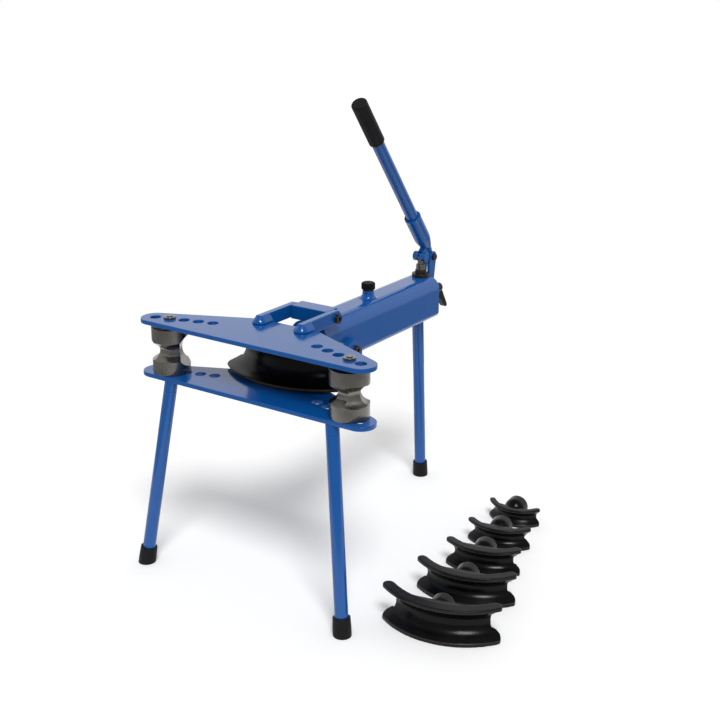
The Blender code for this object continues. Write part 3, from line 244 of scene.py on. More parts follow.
def hull(points: Iterable[Point2]) -> list[Point2]:
    """Convex hull of points in a plane, counter-clockwise."""
    ordered = sorted(set(points))

    def half(sequence: Sequence[Point2]) -> list[Point2]:
        """One side of the hull."""
        chain: list[Point2] = []
        for p in sequence:
            while len(chain) > 1:
                a, b = chain[-2], chain[-1]
                if (b[0] - a[0]) * (p[1] - a[1]) - (b[1] - a[1]) * (p[0] - a[0]) > 1e-12:
                    break
                chain.pop()
            chain.append(p)
        return chain[:-1]

    return half(ordered) + half(ordered[::-1])


def rounded(points: Sequence[Point2], radius: float, closed: bool = False, steps: int = 4) -> list[Point2]:
    """Round the corners of a polyline.

    Args:
        points: the corners.
        radius: how far before and after a corner its rounding starts, at most.
        closed: whether the last point joins the first.
        steps: how many pieces a rounding has.

    Returns:
        The rounded polyline.
    """
    out: list[Point2] = []
    count = len(points)
    for i, corner in enumerate(points):
        if not closed and i in (0, count - 1):
            out.append(corner)
            continue
        here = Vector(corner)
        before, after = Vector(points[i - 1]) - here, Vector(points[(i + 1) % count]) - here
        cut = min(radius, before.length * 0.45, after.length * 0.45)
        start, end = here + before.normalized() * cut, here + after.normalized() * cut
        for step in range(steps + 1):
            t = step / steps
            out.append(tuple(start * (1 - t) ** 2 + here * (2 * t * (1 - t)) + end * t ** 2))
    return out


def add_piece(name: str, mesh: bpy.types.Mesh, sharp: float = 35.0) -> bpy.types.Object:
    """Link a mesh, shaded smooth but for edges sharper than an angle in degrees."""
    mesh.shade_smooth()
    mesh.set_sharp_from_angle(angle=math.radians(sharp))
    made = bpy.data.objects.new(name, mesh)
    bpy.context.scene.collection.objects.link(made)
    return made


def from_bmesh(name: str, bm: bmesh.types.BMesh) -> bpy.types.Object:
    """Turn a bmesh into a piece whose faces point outwards."""
    bmesh.ops.recalc_face_normals(bm, faces=bm.faces)
    mesh = bpy.data.meshes.new(name)
    bm.to_mesh(mesh)
    bm.free()
    return add_piece(name, mesh)


def freeze(piece: bpy.types.Object) -> bpy.types.Object:
    """Replace a piece by one whose modifiers are in its mesh.

    Args:
        piece: a mesh or curve object, which is removed.

    Returns:
        The plain piece, of the same name.
    """
    bpy.context.view_layer.update()
    graph = bpy.context.evaluated_depsgraph_get()
    mesh = bpy.data.meshes.new_from_object(piece.evaluated_get(graph), depsgraph=graph)
    mesh.transform(piece.matrix_world)
    name = piece.name
    bpy.data.objects.remove(piece, do_unlink=True)
    made = bpy.data.objects.new(name, mesh)
    bpy.context.scene.collection.objects.link(made)
    return made


def slab(name: str, loops: Sequence[Sequence[Point2]], thickness: float, place: Matrix,
         edge: float = 0.8 * MM) -> bpy.types.Object:
    """A flat outline with its holes, thickened both ways from place's XY plane, its edges rounded.

    Args:
        name: the piece's name.
        loops: the outline, counter-clockwise, then its holes, counter-clockwise too.
        thickness: the whole thickness.
        place: where the outline's plane lies.
        edge: radius of the edges; 0 leaves them sharp.

    Returns:
        The piece.
    """
    curve = bpy.data.curves.new(name, "CURVE")
    curve.dimensions = "2D"
    curve.fill_mode = "BOTH"
    curve.extrude = thickness / 2 - edge
    curve.bevel_depth = edge
    curve.bevel_resolution = 2
    curve.offset = -edge
    for index, points in enumerate(loops):
        run = points if index == 0 else points[::-1]
        spline = curve.splines.new("POLY")
        spline.points.add(len(run) - 1)
        for slot, (u, v) in zip(spline.points, run):
            slot.co = (u, v, 0, 1)
        spline.use_cyclic_u = True
    carrier = bpy.data.objects.new(name, curve)
    bpy.context.scene.collection.objects.link(carrier)
    made = freeze(carrier)
    bm = bmesh.new()
    bm.from_mesh(made.data)
    bmesh.ops.remove_doubles(bm, verts=bm.verts, dist=0.000002)
    bmesh.ops.transform(bm, matrix=place, verts=bm.verts)
    bpy.data.objects.remove(made, do_unlink=True)
    return from_bmesh(name, bm)


def lathe(name: str, profile: Sequence[Point2], start: Sequence[float], direction: Sequence[float],
          closed: bool = False, steps: int = 64) -> bpy.types.Object:
    """A turned piece.

    Args:
        name: the piece's name.
        profile: (radius, height) points, with height measured along direction.
        start: where height is 0.
        direction: the axis.
        closed: whether the profile is a loop, as a ring's is.
        steps: how many sides it has.

    Returns:
        The piece.
    """
    bm = bmesh.new()
    place = along(start, direction)
    rings = []
    for radius, height in profile:
        count = steps if radius > 1e-7 else 1
        rings.append([bm.verts.new(place @ Vector((radius * math.cos(2 * math.pi * i / steps),
                                                   radius * math.sin(2 * math.pi * i / steps), height)))
                      for i in range(count)])
    for low, high in zip(rings, rings[1:] + (rings[:1] if closed else [])):
        for i in range(steps):
            j = (i + 1) % steps
            corners = [low[i % len(low)], low[j % len(low)], high[j % len(high)], high[i % len(high)]]
            corners = list(dict.fromkeys(corners))
            if len(corners) > 2:
                bm.faces.new(corners)
    return from_bmesh(name, bm)


def bar(name: str, radius: float, start: Sequence[float], end: Sequence[float], edge: float = 0.5 * MM,
        steps: int = 64) -> bpy.types.Object:
    """A round bar between two points, its end edges rounded."""
    start, end = Vector(start), Vector(end)
    length = (end - start).length
    profile = rounded([(0, 0), (radius, 0), (radius, length), (0, length)], edge)
    return lathe(name, profile, start, end - start, steps=steps)


def block(name: str, low: Sequence[float], high: Sequence[float]) -> bpy.types.Object:
    """A plain box between two corners, for cutting and joining."""
    size = [b - a for a, b in zip(low, high)]
    centre = [(a + b) / 2 for a, b in zip(low, high)]
    bm = bmesh.new()
    bmesh.ops.create_cube(bm, size=1, matrix=Matrix.Translation(centre) @ Matrix.Diagonal((*size, 1)))
    return from_bmesh(name, bm)


class Operation(Enum):
    """What a tool does to a piece."""

    CUT = "DIFFERENCE"
    JOIN = "UNION"


def work(piece: bpy.types.Object, operation: Operation, *tools: bpy.types.Object) -> bpy.types.Object:
    """Cut or join tools, which are used up.

    Args:
        piece: what is worked on.
        operation: cut or join.
        tools: the solids that cut or join it.

    Returns:
        The worked piece.
    """
    for tool in tools:
        step = piece.modifiers.new(tool.name, "BOOLEAN")
        step.operation = operation.value
        step.object = tool
    made = freeze(piece)
    for tool in tools:
        bpy.data.objects.remove(tool, do_unlink=True)
    return made


def ease_edges(piece: bpy.types.Object, width: float, angle: float = 30.0) -> bpy.types.Object:
    """Round the sharp edges of a worked piece, so that they catch the light."""
    bm = bmesh.new()
    bm.from_mesh(piece.data)
    bmesh.ops.remove_doubles(bm, verts=bm.verts, dist=0.00002)
    bmesh.ops.dissolve_limit(bm, angle_limit=math.radians(1), verts=bm.verts, edges=bm.edges)
    bm.to_mesh(piece.data)
    bm.free()
    step = piece.modifiers.new("edges", "BEVEL")
    step.width = width
    step.segments = 2
    step.limit_method = "ANGLE"
    step.angle_limit = math.radians(angle)
    step.use_clamp_overlap = True
    step.harden_normals = False
    made = freeze(piece)
    return even_shading(made)


def even_shading(piece: bpy.types.Object, sharp: float = 50.0) -> bpy.types.Object:
    """Shade a piece smooth with each corner's normal drawn to its larger faces."""
    piece.data.shade_smooth()
    piece.data.set_sharp_from_angle(angle=math.radians(sharp))
    step = piece.modifiers.new("shading", "WEIGHTED_NORMAL")
    step.keep_sharp = True
    return freeze(piece)


def cast(piece: bpy.types.Object, grain: float, passes: int = 4) -> bpy.types.Object:
    """Give a joined piece the soft corners and fillets of a casting or a ground weld.

    Args:
        piece: the rough solid.
        grain: size of the voxels, about the radius that its corners get.
        passes: how often its points are smoothed.

    Returns:
        The cast piece.
    """
    remesh = piece.modifiers.new("skin", "REMESH")
    remesh.mode = "VOXEL"
    remesh.voxel_size = grain
    smooth = piece.modifiers.new("smooth", "SMOOTH")
    smooth.factor = 0.5
    smooth.iterations = passes
    made = freeze(piece)
    made.data.shade_smooth()
    return made


def dress(piece: bpy.types.Object, finish: Finish, body: str, *nodes: str) -> bpy.types.Object:
    """Finish a piece and tie it to the frame.

    Args:
        piece: the piece, in place.
        finish: its surface.
        body: the body that it moves with.
        nodes: the solids that it stands for.

    Returns:
        The same piece.
    """
    piece.data.materials.clear()
    piece.data.materials.append(PALETTE.made[finish.slot])
    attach(piece, body)
    if nodes:
        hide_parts(*nodes)
    LOG.info("%s: %d faces, on %s", piece.name, len(piece.data.polygons), body)
    return piece


@dataclass
class Plates:
    """The two winged plates, flame-cut and enamelled, with a row of pin holes along each wing."""

    tip_radius: float = 33.9 * MM
    rear_slope: float = math.radians(24)
    corner_length: float = 14 * MM
    corner_radius: float = 12 * MM
    outer_hole: float = 280 * MM
    hole_step: Point2 = (34.2 * MM, 9.6 * MM)
    holes: int = 5
    hole_radius: float = 12.5 * MM
    edge: float = 1.2 * MM

    def outline(self, low: Vector, high: Vector) -> list[list[Point2]]:
        """Outline and holes, from the corners of the node's box."""
        row = low.y + self.tip_radius
        tip = arc((self.outer_hole, row), self.tip_radius, -math.pi / 2, math.pi / 2 - self.rear_slope, 24)
        last_x, last_y = tip[-1]
        rear_x = last_x - (high.y - last_y) / math.tan(self.rear_slope)
        corner = Vector((rear_x, high.y))
        soft = [tuple(corner.lerp(Vector((last_x, last_y)), 0.06)), tuple(corner),
                tuple(corner + Vector((-self.corner_length, 0)))]
        right = tip + rounded(soft, self.corner_radius)[1:]
        loops = [right + [(-x, y) for x, y in reversed(right)]]
        for side in (-1, 1):
            for index in range(self.holes):
                centre = (side * (self.outer_hole - index * self.hole_step[0]),
                          row + index * self.hole_step[1])
                loops.append(ring(centre, self.hole_radius, 48))
        return loops

    def build(self) -> None:
        """Make both plates."""
        for node in ("lower_plate", "upper_plate"):
            low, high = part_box(node)
            place = Matrix.Translation((0, 0, (low.z + high.z) / 2))
            plate = slab("enamelled_" + node, self.outline(low, high), high.z - low.z, place, self.edge)
            dress(even_shading(plate), ENAMEL, "frame", node)


@dataclass
class CounterFormers:
    """Turned steel blocks with six milled grooves, and the pins that hold them."""

    radius: float = 43 * MM
    groove_depth: float = 20.5 * MM
    pipes: tuple[float, ...] = (42.4 * MM, 60.3 * MM, 88.9 * MM, 33.7 * MM, 26.9 * MM, 48.3 * MM)
    bore: float = 12.5 * MM
    rim: float = 1.2 * MM
    pin_radius: float = 12 * MM
    pin_head: float = 14 * MM
    pin_head_height: float = 7 * MM

    def groove(self, centre: Vector, height: float, face: int, side: int) -> bpy.types.Object:
        """Cutter of one groove, opened wide where the pipe is small."""
        radius = self.pipes[face] / 2
        angle = math.pi / 3 * (face + 0.5)
        outward = Vector((side * math.cos(angle), math.sin(angle), 0))
        floor = self.radius - self.groove_depth
        outline = ring((floor + radius, height), radius, 64)
        if radius < self.groove_depth:
            past = self.radius * 1.1
            half = past - floor
            outline = hull(outline + [(past, height - half), (past, height + half)])
        across = outward.cross(Vector((0, 0, 1)))
        place = Matrix.Translation((centre.x, centre.y, 0)) @ Matrix(
            (outward, (0, 0, 1), across)).transposed().to_4x4()
        return slab(f"groove_{face}", [outline], 4 * self.radius, place, 0)

    def build(self) -> None:
        """Make both blocks and both pins."""
        for label, side in (("left", -1), ("right", 1)):
            node = "counter_former_" + label
            low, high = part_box(node)
            centre = (low + high) / 2
            height = high.z - low.z
            profile = rounded([(0, 0), (self.radius, 0), (self.radius, height), (0, height)], self.rim,
                              steps=2)
            former = lathe("steel_" + node, profile, (centre.x, centre.y, low.z), (0, 0, 1), steps=96)
            cutters = [self.groove(centre, centre.z, face, side) for face in range(len(self.pipes))]
            cutters.append(bar("bore", self.bore, (centre.x, centre.y, low.z - self.rim),
                               (centre.x, centre.y, high.z + self.rim), 0))
            former = work(former, Operation.CUT, *cutters)
            dress(ease_edges(former, 0.5 * MM, 20), STEEL, node, node)
            self.pin(label)

    def pin(self, label: str) -> None:
        """A headed pin, its ends chamfered."""
        node = "pin_" + label
        low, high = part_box(node)
        centre = (low + high) / 2
        length = high.z - low.z
        under = length - self.pin_head_height
        chamfer = 1.8 * MM
        disc = length - 2 * MM
        raised = self.pin_head * 0.5
        profile = [(0, 0), (self.pin_radius - chamfer, 0), (self.pin_radius, 2 * chamfer),
                   (self.pin_radius, under), (self.pin_head, under), (self.pin_head, disc - 0.5 * MM),
                   (self.pin_head - 0.5 * MM, disc), (raised, disc), (raised, length), (0, length)]
        pin = lathe("steel_" + node, rounded(profile, 0.3 * MM, steps=2), (centre.x, centre.y, low.z),
                    (0, 0, 1))
        dress(even_shading(pin), STEEL, node, node)


@dataclass
class Former:
    """A cast bending former: a curved channel with two flanges and a domed hub for the ram."""

    node: str
    body: str
    pipe: float
    radius: float
    half_arc: float
    height: float
    vertex: Vector
    turn: float
    hub_height: float
    wall: float = 8 * MM
    flange_share: float = 0.7
    web_reach: float = 10 * MM
    web_step: float = 0.5 * MM
    hub_radius: float = 27 * MM
    hub_length: float = 48 * MM
    hub_front: float = 3 * MM
    socket_radius: float = 20.3 * MM
    socket_depth: float = 34 * MM
    rim_share: float = 0.6
    # share of the lighter colour on the flange rims' front faces, painted light where they catch the light; the
    # next value is how wide the band is
    rim_light_and_wear: float = 0.2
    wear_and_light_reach: float = 1.8 * MM
    arc_steps: int = 72
    skin: float = 1.25 * MM

    def place(self) -> Matrix:
        """Place of the former: origin at the flange edge's foremost point, +Y towards the hub."""
        return Matrix.Translation(self.vertex) @ Matrix.Rotation(self.turn, 4, "Z")

    def section(self) -> list[Point2]:
        """Outline of the channel, as depth behind the flange edge and height; the rims are thin."""
        pipe, middle = self.pipe / 2, self.height / 2
        back = pipe + self.wall
        flange = back * self.flange_share
        reach = math.asin(math.sqrt(back ** 2 - flange ** 2) / back)
        mouth = middle - (middle - pipe) * self.rim_share
        round_end = math.asin(pipe / mouth)
        points = [(0, 0), (flange, 0)]
        points += [(d, middle + z) for d, z in arc((0, 0), back, -reach, reach, 12)]
        points += [(flange, self.height), (0, self.height), (0, middle + mouth)]
        points += [(d, middle + z) for d, z in arc((0, 0), pipe, round_end, -round_end, 28)]
        points.append((0, middle - mouth))
        return points

    def band(self) -> bpy.types.Object:
        """The channel, swept round the bend's centre."""
        section = self.section()
        centre = Vector((0, self.radius, 0))
        bm = bmesh.new()
        rings = []
        for step in range(self.arc_steps + 1):
            angle = self.half_arc * (2 * step / self.arc_steps - 1)
            turn = Matrix.Rotation(angle, 3, "Z")
            rings.append([bm.verts.new(turn @ Vector((0, d - self.radius, z)) + centre) for d, z in section])
        count = len(section)
        for low, high in zip(rings, rings[1:]):
            for i in range(count):
                j = (i + 1) % count
                bm.faces.new((low[i], low[j], high[j], high[i]))
        bm.faces.new(rings[0])
        bm.faces.new(rings[-1])
        return from_bmesh("band", bm)

    def tip_cutter(self, side: int) -> bpy.types.Object:
        """What rounds the flanges' tips in plan and ends the web short of them."""
        depth = (self.pipe / 2 + self.wall) * self.flange_share
        half = depth / 2
        past = self.wall * 4
        outline = [(half, depth + past), (-past, depth + past), (-past, -past), (half, -past)]
        outline += arc((half, half), half, 1.5 * math.pi, math.pi / 2, 16)
        if side < 0:
            outline = [(-u, v) for u, v in reversed(outline)]
        centre = Vector((0, self.radius, self.height / 2))
        turn = Matrix.Rotation(-side * self.half_arc, 4, "Z")
        local = Matrix.Translation((0, -self.radius, 0))
        return slab("tip", [outline[::-1]], 2 * self.height, Matrix.Translation(centre) @ turn @ local, 0)

    def webs(self) -> list[bpy.types.Object]:
        """The straight-backed plates that fill the bend behind both flanges."""
        flange = (self.pipe / 2 + self.wall) * self.flange_share
        inner = self.radius - flange / 2
        half = math.acos((self.radius - flange - self.web_reach) / inner)
        outline = arc((0, self.radius), inner, -math.pi / 2 - half, -math.pi / 2 + half, 48)
        thick = (self.height - self.pipe) / 2 - self.web_step
        low = self.web_step + thick / 2
        return [slab("web", [outline], thick, Matrix.Translation((0, 0, z)), 0)
                for z in (low, self.height - low)]

    def hub(self) -> bpy.types.Object:
        """The domed hub, along the former's own Y."""
        dome = arc((0, 0), self.hub_radius, 0, math.pi / 2, 16)
        profile = [(0.0, self.hub_length), (self.hub_radius, self.hub_length)]
        profile += [(r, self.hub_radius - h) for r, h in dome[:-1]]
        profile.append((0.0, 0.0))
        front = self.pipe / 2 + self.hub_front
        return lathe("hub", profile, (0, front, self.hub_height), (0, 1, 0))

    def mark_wear_and_light(self, piece: bpy.types.Object) -> None:
        """Write how worn and how lit each point is: a band of painted light on the flange rims' front faces, and
        real wear at the groove's mouth edges, where pipes are slid in.
        """
        worn_and_lit = piece.data.attributes.new("wear_and_painted_light", "FLOAT", "POINT")
        back = self.place().inverted()
        middle = self.height / 2
        mouth = middle - (middle - self.pipe / 2) * self.rim_share
        values = []
        for vertex in piece.data.vertices:
            here = back @ vertex.co
            depth = self.radius - math.hypot(here.x, here.y - self.radius)
            rim = max(0.0, 1 - abs(depth) / self.wear_and_light_reach)
            corner = max(0.0, 1 - abs(abs(here.z - middle) - mouth) / self.wear_and_light_reach)
            values.append(rim * max(self.rim_light_and_wear, corner))
        worn_and_lit.data.foreach_set("value", values)

    def build(self) -> None:
        """Sweep, join, cut and skin the former."""
        band = work(self.band(), Operation.CUT, self.tip_cutter(1), self.tip_cutter(-1))
        former = work(band, Operation.JOIN, self.hub(), *self.webs())
        front = self.pipe / 2 + self.hub_front
        mouth = front + self.hub_length
        socket = bar("socket", self.socket_radius, (0, mouth - self.socket_depth, self.hub_height),
                     (0, mouth + self.wall, self.hub_height), 0)
        former = work(former, Operation.CUT, socket)
        former.name = "cast_" + self.node
        former.data.transform(self.place())
        former = cast(former, self.skin)
        self.mark_wear_and_light(former)
        dress(former, CASTING, self.body, self.node)


@dataclass
class FormerSet:
    """The six formers, one for each pipe size."""

    names: tuple[str, ...] = ("bending_former", "loose_former_60", "loose_former_48", "loose_former_42",
                              "loose_former_34", "loose_former_27")
    pipes: tuple[float, ...] = (88.9 * MM, 60.3 * MM, 48.3 * MM, 42.4 * MM, 33.7 * MM, 26.9 * MM)
    radii: tuple[float, ...] = (240 * MM, 190 * MM, 161.3 * MM, 132.7 * MM, 106 * MM, 80.5 * MM)
    half_arcs: tuple[float, ...] = (44.5, 46.9, 48.0, 45.2, 51.2, 62.1)
    lips: tuple[float, ...] = (8.3 * MM, 13.4 * MM, 14.2 * MM, 12.1 * MM, 11 * MM, 10.1 * MM)
    turns: tuple[float, ...] = (0.0, 11.8, 13.2, 14.1, 11.7, 3.9)
    vertices: tuple[Point2, ...] = ((0.0, 41 * MM), (458.5 * MM, 7.9 * MM), (433.6 * MM, 170.6 * MM),
                                    (405.4 * MM, 314.3 * MM), (377 * MM, 448.3 * MM), (347 * MM, 580.6 * MM))
    loose_rise: float = 9 * MM
    hub_radius: float = 27 * MM

    def build(self, hole_row: float) -> None:
        """Make every former.

        Args:
            hole_row: Y of the outermost pin holes, from which the formers' places are measured.
        """
        for index, name in enumerate(self.names):
            low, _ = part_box(name)
            height = self.pipes[index] + 2 * self.lips[index]
            rise = self.loose_rise if index else 0.0
            x, y = self.vertices[index]
            Former(name, name, self.pipes[index], self.radii[index], math.radians(self.half_arcs[index]),
                   height, Vector((x, hole_row + y, low.z)), math.radians(self.turns[index]),
                   max(height / 2 + rise, self.hub_radius + GAP), hub_radius=self.hub_radius,
                   # the mounted former's rim faces get a strong band of painted light, the loose ones a weak one
                   rim_share=0.6 if index else 0.8, rim_light_and_wear=0.2 if index else 0.7,
                   skin=1.25 * MM if index else 1.55 * MM).build()


@dataclass
class Casing:
    """Square oil tank and pump block, with the hinge block on top."""

    top_corner: float = 32 * MM
    lower_corner: float = 14 * MM
    edge: float = 2.2 * MM
    bore: float = 42 * MM
    pump_block: float = 76 * MM
    filler_bore: float = 9 * MM
    pump_bore: float = 17.1 * MM
    pump_depth: float = 46.3 * MM
    valve_radius: float = 6.3 * MM
    valve_depth: float = 40.3 * MM

    def section(self, low: Vector, high: Vector) -> list[Point2]:
        """Outline in X and Z."""
        points: list[Point2] = []
        middle = (low.z + high.z) / 2
        top, lower = self.top_corner, self.lower_corner
        for x, z, radius, start in ((high.x, high.z, top, 0), (low.x, high.z, top, 90),
                                    (low.x, low.z, lower, 180), (high.x, low.z, lower, 270)):
            centre = (x - math.copysign(radius, x), z - math.copysign(radius, z - middle))
            points += arc(centre, radius, math.radians(start), math.radians(start + 90), 14)
        return points

    def build(self) -> None:
        """Make the casing with its bores, and the hinge block."""
        low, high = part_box("casing")
        length = high.y - low.y
        middle_y = (low.y + high.y) / 2
        centre_z = (low.z + high.z) / 2
        place = Matrix(((1, 0, 0, 0), (0, 0, 1, middle_y), (0, 1, 0, 0), (0, 0, 0, 1)))
        shell = slab("enamelled_casing", [self.section(low, high)], length, place, self.edge)
        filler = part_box("filler_neck")
        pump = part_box("pump_sleeve")
        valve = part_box("release_spindle")
        filler_y = (filler[0].y + filler[1].y) / 2
        pump_y = (pump[0].y + pump[1].y) / 2
        valve_x, valve_z = (valve[0].x + valve[1].x) / 2, (valve[0].z + valve[1].z) / 2
        past = 5 * MM
        cutters = [
            bar("bore", self.bore, (0, low.y - past, centre_z), (0, high.y - self.pump_block, centre_z), 0),
            bar("filler_hole", self.filler_bore, (0, filler_y, centre_z), (0, filler_y, high.z + past), 0),
            bar("pump_hole", self.pump_bore, (0, pump_y, high.z - self.pump_depth),
                (0, pump_y, high.z + past), 0),
            bar("valve_hole", self.valve_radius, (valve_x, high.y - self.valve_depth, valve_z),
                (valve_x, high.y + past, valve_z), 0)]
        shell = work(shell, Operation.CUT, *cutters)
        dress(even_shading(shell), ENAMEL, "frame", "casing")
        self.hinge_block()

    def hinge_block(self) -> None:
        """The block that the upper arms are bolted to, its edges broken."""
        low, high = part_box("hinge_block")
        holder = block("enamelled_hinge_block", low, high)
        dress(ease_edges(holder, 1.6 * MM), ENAMEL, "frame", "hinge_block")


@dataclass
class Arms:
    """The upper arms with their heavy weld feet, and the black bolts of all four arms."""

    thickness: float = 15 * MM
    weld_spread: float = 11 * MM
    weld_height: float = 15 * MM
    weld_rows: tuple[Point2, ...] = ((1.0, 0.0), (1.0, 0.14), (0.9, 0.34), (0.7, 0.56), (0.4, 0.8), (0.1, 1.0))
    bolt_radius: float = 6 * MM
    bolt_head: float = 10.5 * MM
    bolt_head_height: float = 8 * MM
    point: float = 0.8 * MM
    hex_socket: float = 5 * MM
    skin: float = 0.9 * MM

    def upper(self, label: str) -> None:
        """One upper arm, rounded at the bolt, with the weld that spreads it over the plate."""
        node = "upper_arm_" + label
        side = -1 if label == "left" else 1
        low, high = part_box(node)
        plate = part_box("upper_plate")
        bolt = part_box("upper_bolt_" + label)
        bolt_y = (bolt[0].y + bolt[1].y) / 2
        bolt_z = (bolt[0].z + bolt[1].z) / 2
        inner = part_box("hinge_block")[1].x + GAP
        x = side * (inner + self.thickness / 2)
        on_plate = plate[1].z + GAP
        rear_edge = plate[1].y + GAP
        front = low.y + self.weld_spread
        radius = (high.z - low.z) / 2
        outline = [(front, on_plate), (rear_edge, on_plate), (rear_edge, low.z)]
        outline += arc((high.y - radius, low.z + radius), radius, -math.pi / 2, math.pi / 2, 24)
        outline += [(front + 2 * MM, high.z), (front, high.z - 2 * MM)]
        arm = slab("enamelled_" + node, [outline], self.thickness, side_place(x), 0)
        arm = work(arm, Operation.JOIN, self.weld(x, front, plate[1].y, on_plate + GAP))
        hole = bar("hole", self.bolt_radius + GAP, (x - self.thickness, bolt_y, bolt_z),
                   (x + self.thickness, bolt_y, bolt_z), 0)
        arm = cast(work(arm, Operation.CUT, hole), self.skin, 4)
        dress(arm, ENAMEL, "frame", node)

    def weld(self, x: float, front: float, rear: float, z: float) -> bpy.types.Object:
        """Fillet of weld round an arm's nose and along its sides.

        Args:
            x: middle of the arm.
            front: Y of the arm's front face.
            rear: Y of the plate's rear edge.
            z: height of its flat underside.

        Returns:
            The fillet, as a solid under the arm.
        """
        bm = bmesh.new()
        for share, rise in self.weld_rows:
            spread = self.weld_spread * share
            wide = self.thickness / 2 + spread
            outline = arc((x, front - spread + wide), wide, math.pi, 2 * math.pi, 24)
            outline += [(x + wide, rear), (x - wide, rear)]
            for u, v in outline:
                bm.verts.new((u, v, z + rise * self.weld_height))
        shell = bmesh.ops.convex_hull(bm, input=bm.verts)
        inner = [item for item in shell["geom_interior"] if isinstance(item, bmesh.types.BMVert)]
        bmesh.ops.delete(bm, geom=inner, context="VERTS")
        return from_bmesh("weld", bm)

    def bolt(self, node: str) -> None:
        """A socket-headed black bolt in an arm."""
        low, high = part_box(node)
        side = 1 if low.x + high.x > 0 else -1
        tip = min(low.x, high.x, key=abs)
        outer = max(low.x, high.x, key=abs)
        y, z = (low.y + high.y) / 2, (low.z + high.z) / 2
        length = abs(outer - tip)
        under = length - self.bolt_head_height
        profile = [(0, 0), (self.bolt_radius - self.point, 0), (self.bolt_radius, self.point),
                   (self.bolt_radius, under), (self.bolt_head, under), (self.bolt_head, length), (0, length)]
        bolt = lathe("black_" + node, rounded(profile, 0.7 * MM, steps=3), (tip, y, z), (side, 0, 0))
        corner = self.hex_socket
        key = [(y + corner * math.cos(math.pi / 3 * i), z + corner * math.sin(math.pi / 3 * i))
               for i in range(6)]
        bolt = work(bolt, Operation.CUT, slab("key", [key], 2 * self.hex_socket, side_place(outer), 0))
        dress(even_shading(bolt, 30), BLACKENED, "frame", node)

    def build(self) -> None:
        """Make the upper arms and the bolts."""
        for label in ("left", "right"):
            self.upper(label)
            self.bolt("upper_bolt_" + label)
            self.bolt("lower_bolt_" + label)


@dataclass
class Filler:
    """Filler neck with its weld, and the knurled cap."""

    neck_radius: float = 14 * MM
    bore: float = 9 * MM
    weld_radius: float = 24 * MM
    cap_radius: float = 17 * MM
    plug_radius: float = 8.7 * MM
    plug_length: float = 12 * MM
    rib_radius: float = 1.1 * MM
    ribs: int = 40

    def neck(self) -> None:
        """Turned neck that flares into its weld."""
        low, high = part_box("filler_neck")
        centre = (low + high) / 2
        height = high.z - low.z
        flare = self.weld_radius - self.neck_radius
        sweep = [(self.weld_radius - flare * math.sin(t), flare * 1.5 * (1 - math.cos(t)))
                 for t in (math.pi / 2 * i / 8 for i in range(9))]
        profile = [(self.bore, 0)] + sweep + [(self.neck_radius, height - 1 * MM),
                                              (self.neck_radius - 1 * MM, height), (self.bore, height)]
        neck = lathe("enamelled_filler_neck", profile, (centre.x, centre.y, low.z), (0, 0, 1), closed=True)
        dress(even_shading(neck), ENAMEL, "frame", "filler_neck")

    def cap(self) -> None:
        """Cap with a domed top, its knurl made by repeating a rib."""
        low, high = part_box("filler_cap")
        centre = (low + high) / 2
        height = high.z - low.z - self.plug_length
        base = low.z + self.plug_length
        body = self.cap_radius - self.rib_radius
        top = height - 1.6 * MM
        profile = [(0, -self.plug_length), (self.plug_radius, -self.plug_length), (self.plug_radius, 0),
                   (body, 0), (body, top), (body - 2 * MM, height), (body * 0.5, height), (0, height)]
        cap = lathe("rubber_filler_cap", rounded(profile, 1.2 * MM), (centre.x, centre.y, base), (0, 0, 1))
        dress(even_shading(cap), RUBBER, "filler_cap", "filler_cap")
        knurl = repeat_round("cap_knurl", self.ribs, body, self.rib_radius, height - 4 * MM,
                             PALETTE.made[Slot.RUBBER])
        knurl.data.transform(Matrix.Translation((centre.x, centre.y, base + height / 2 - 0.5 * MM)))
        dress(knurl, RUBBER, "filler_cap")

    def build(self) -> None:
        """Make the neck and the cap."""
        self.neck()
        self.cap()


def repeat_round(name: str, count: int, radius: float, rib: float, height: float,
                 material: bpy.types.Material) -> bpy.types.Object:
    """Ribs in a ring, by a node tree with their sizes as inputs.

    Args:
        name: the piece's name.
        count: how many ribs.
        radius: radius of the ring that they stand on.
        rib: radius of one rib.
        height: length of a rib, along Z.
        material: what they are made of.

    Returns:
        A plain mesh round the origin.
    """
    tree = bpy.data.node_groups.new(name, "GeometryNodeTree")
    sizes = {"Count": ("NodeSocketInt", count), "Ring Radius": ("NodeSocketFloat", radius),
             "Rib Radius": ("NodeSocketFloat", rib), "Rib Height": ("NodeSocketFloat", height)}
    idents = {}
    for label, (kind, _) in sizes.items():
        idents[label] = tree.interface.new_socket(label, in_out="INPUT", socket_type=kind).identifier
    tree.interface.new_socket("Geometry", in_out="OUTPUT", socket_type="NodeSocketGeometry")
    given = add_node(tree, "NodeGroupInput").outputs
    circle = add_node(tree, "GeometryNodeMeshCircle", inputs={"Vertices": given["Count"],
                                                              "Radius": given["Ring Radius"]})
    shape = add_node(tree, "GeometryNodeMeshCylinder", inputs={
        "Vertices": 8, "Radius": given["Rib Radius"], "Depth": given["Rib Height"]})
    spread = add_node(tree, "GeometryNodeInstanceOnPoints", inputs={
        "Points": circle.outputs[0], "Instance": shape.outputs[0]})
    real = add_node(tree, "GeometryNodeRealizeInstances", inputs={0: spread.outputs[0]})
    last = add_node(tree, "GeometryNodeSetMaterial", inputs={
        "Geometry": real.outputs[0], "Material": material})
    add_node(tree, "NodeGroupOutput", inputs={0: last.outputs[0]})
    carrier = bpy.data.objects.new(name, bpy.data.meshes.new(name))
    bpy.context.scene.collection.objects.link(carrier)
    step = carrier.modifiers.new("ribs", "NODES")
    step.node_group = tree
    for label, (_, value) in sizes.items():
        step[idents[label]] = value
    made = freeze(carrier)
    made.data.shade_smooth()
    made.data.set_sharp_from_angle(angle=math.radians(50))
    return made


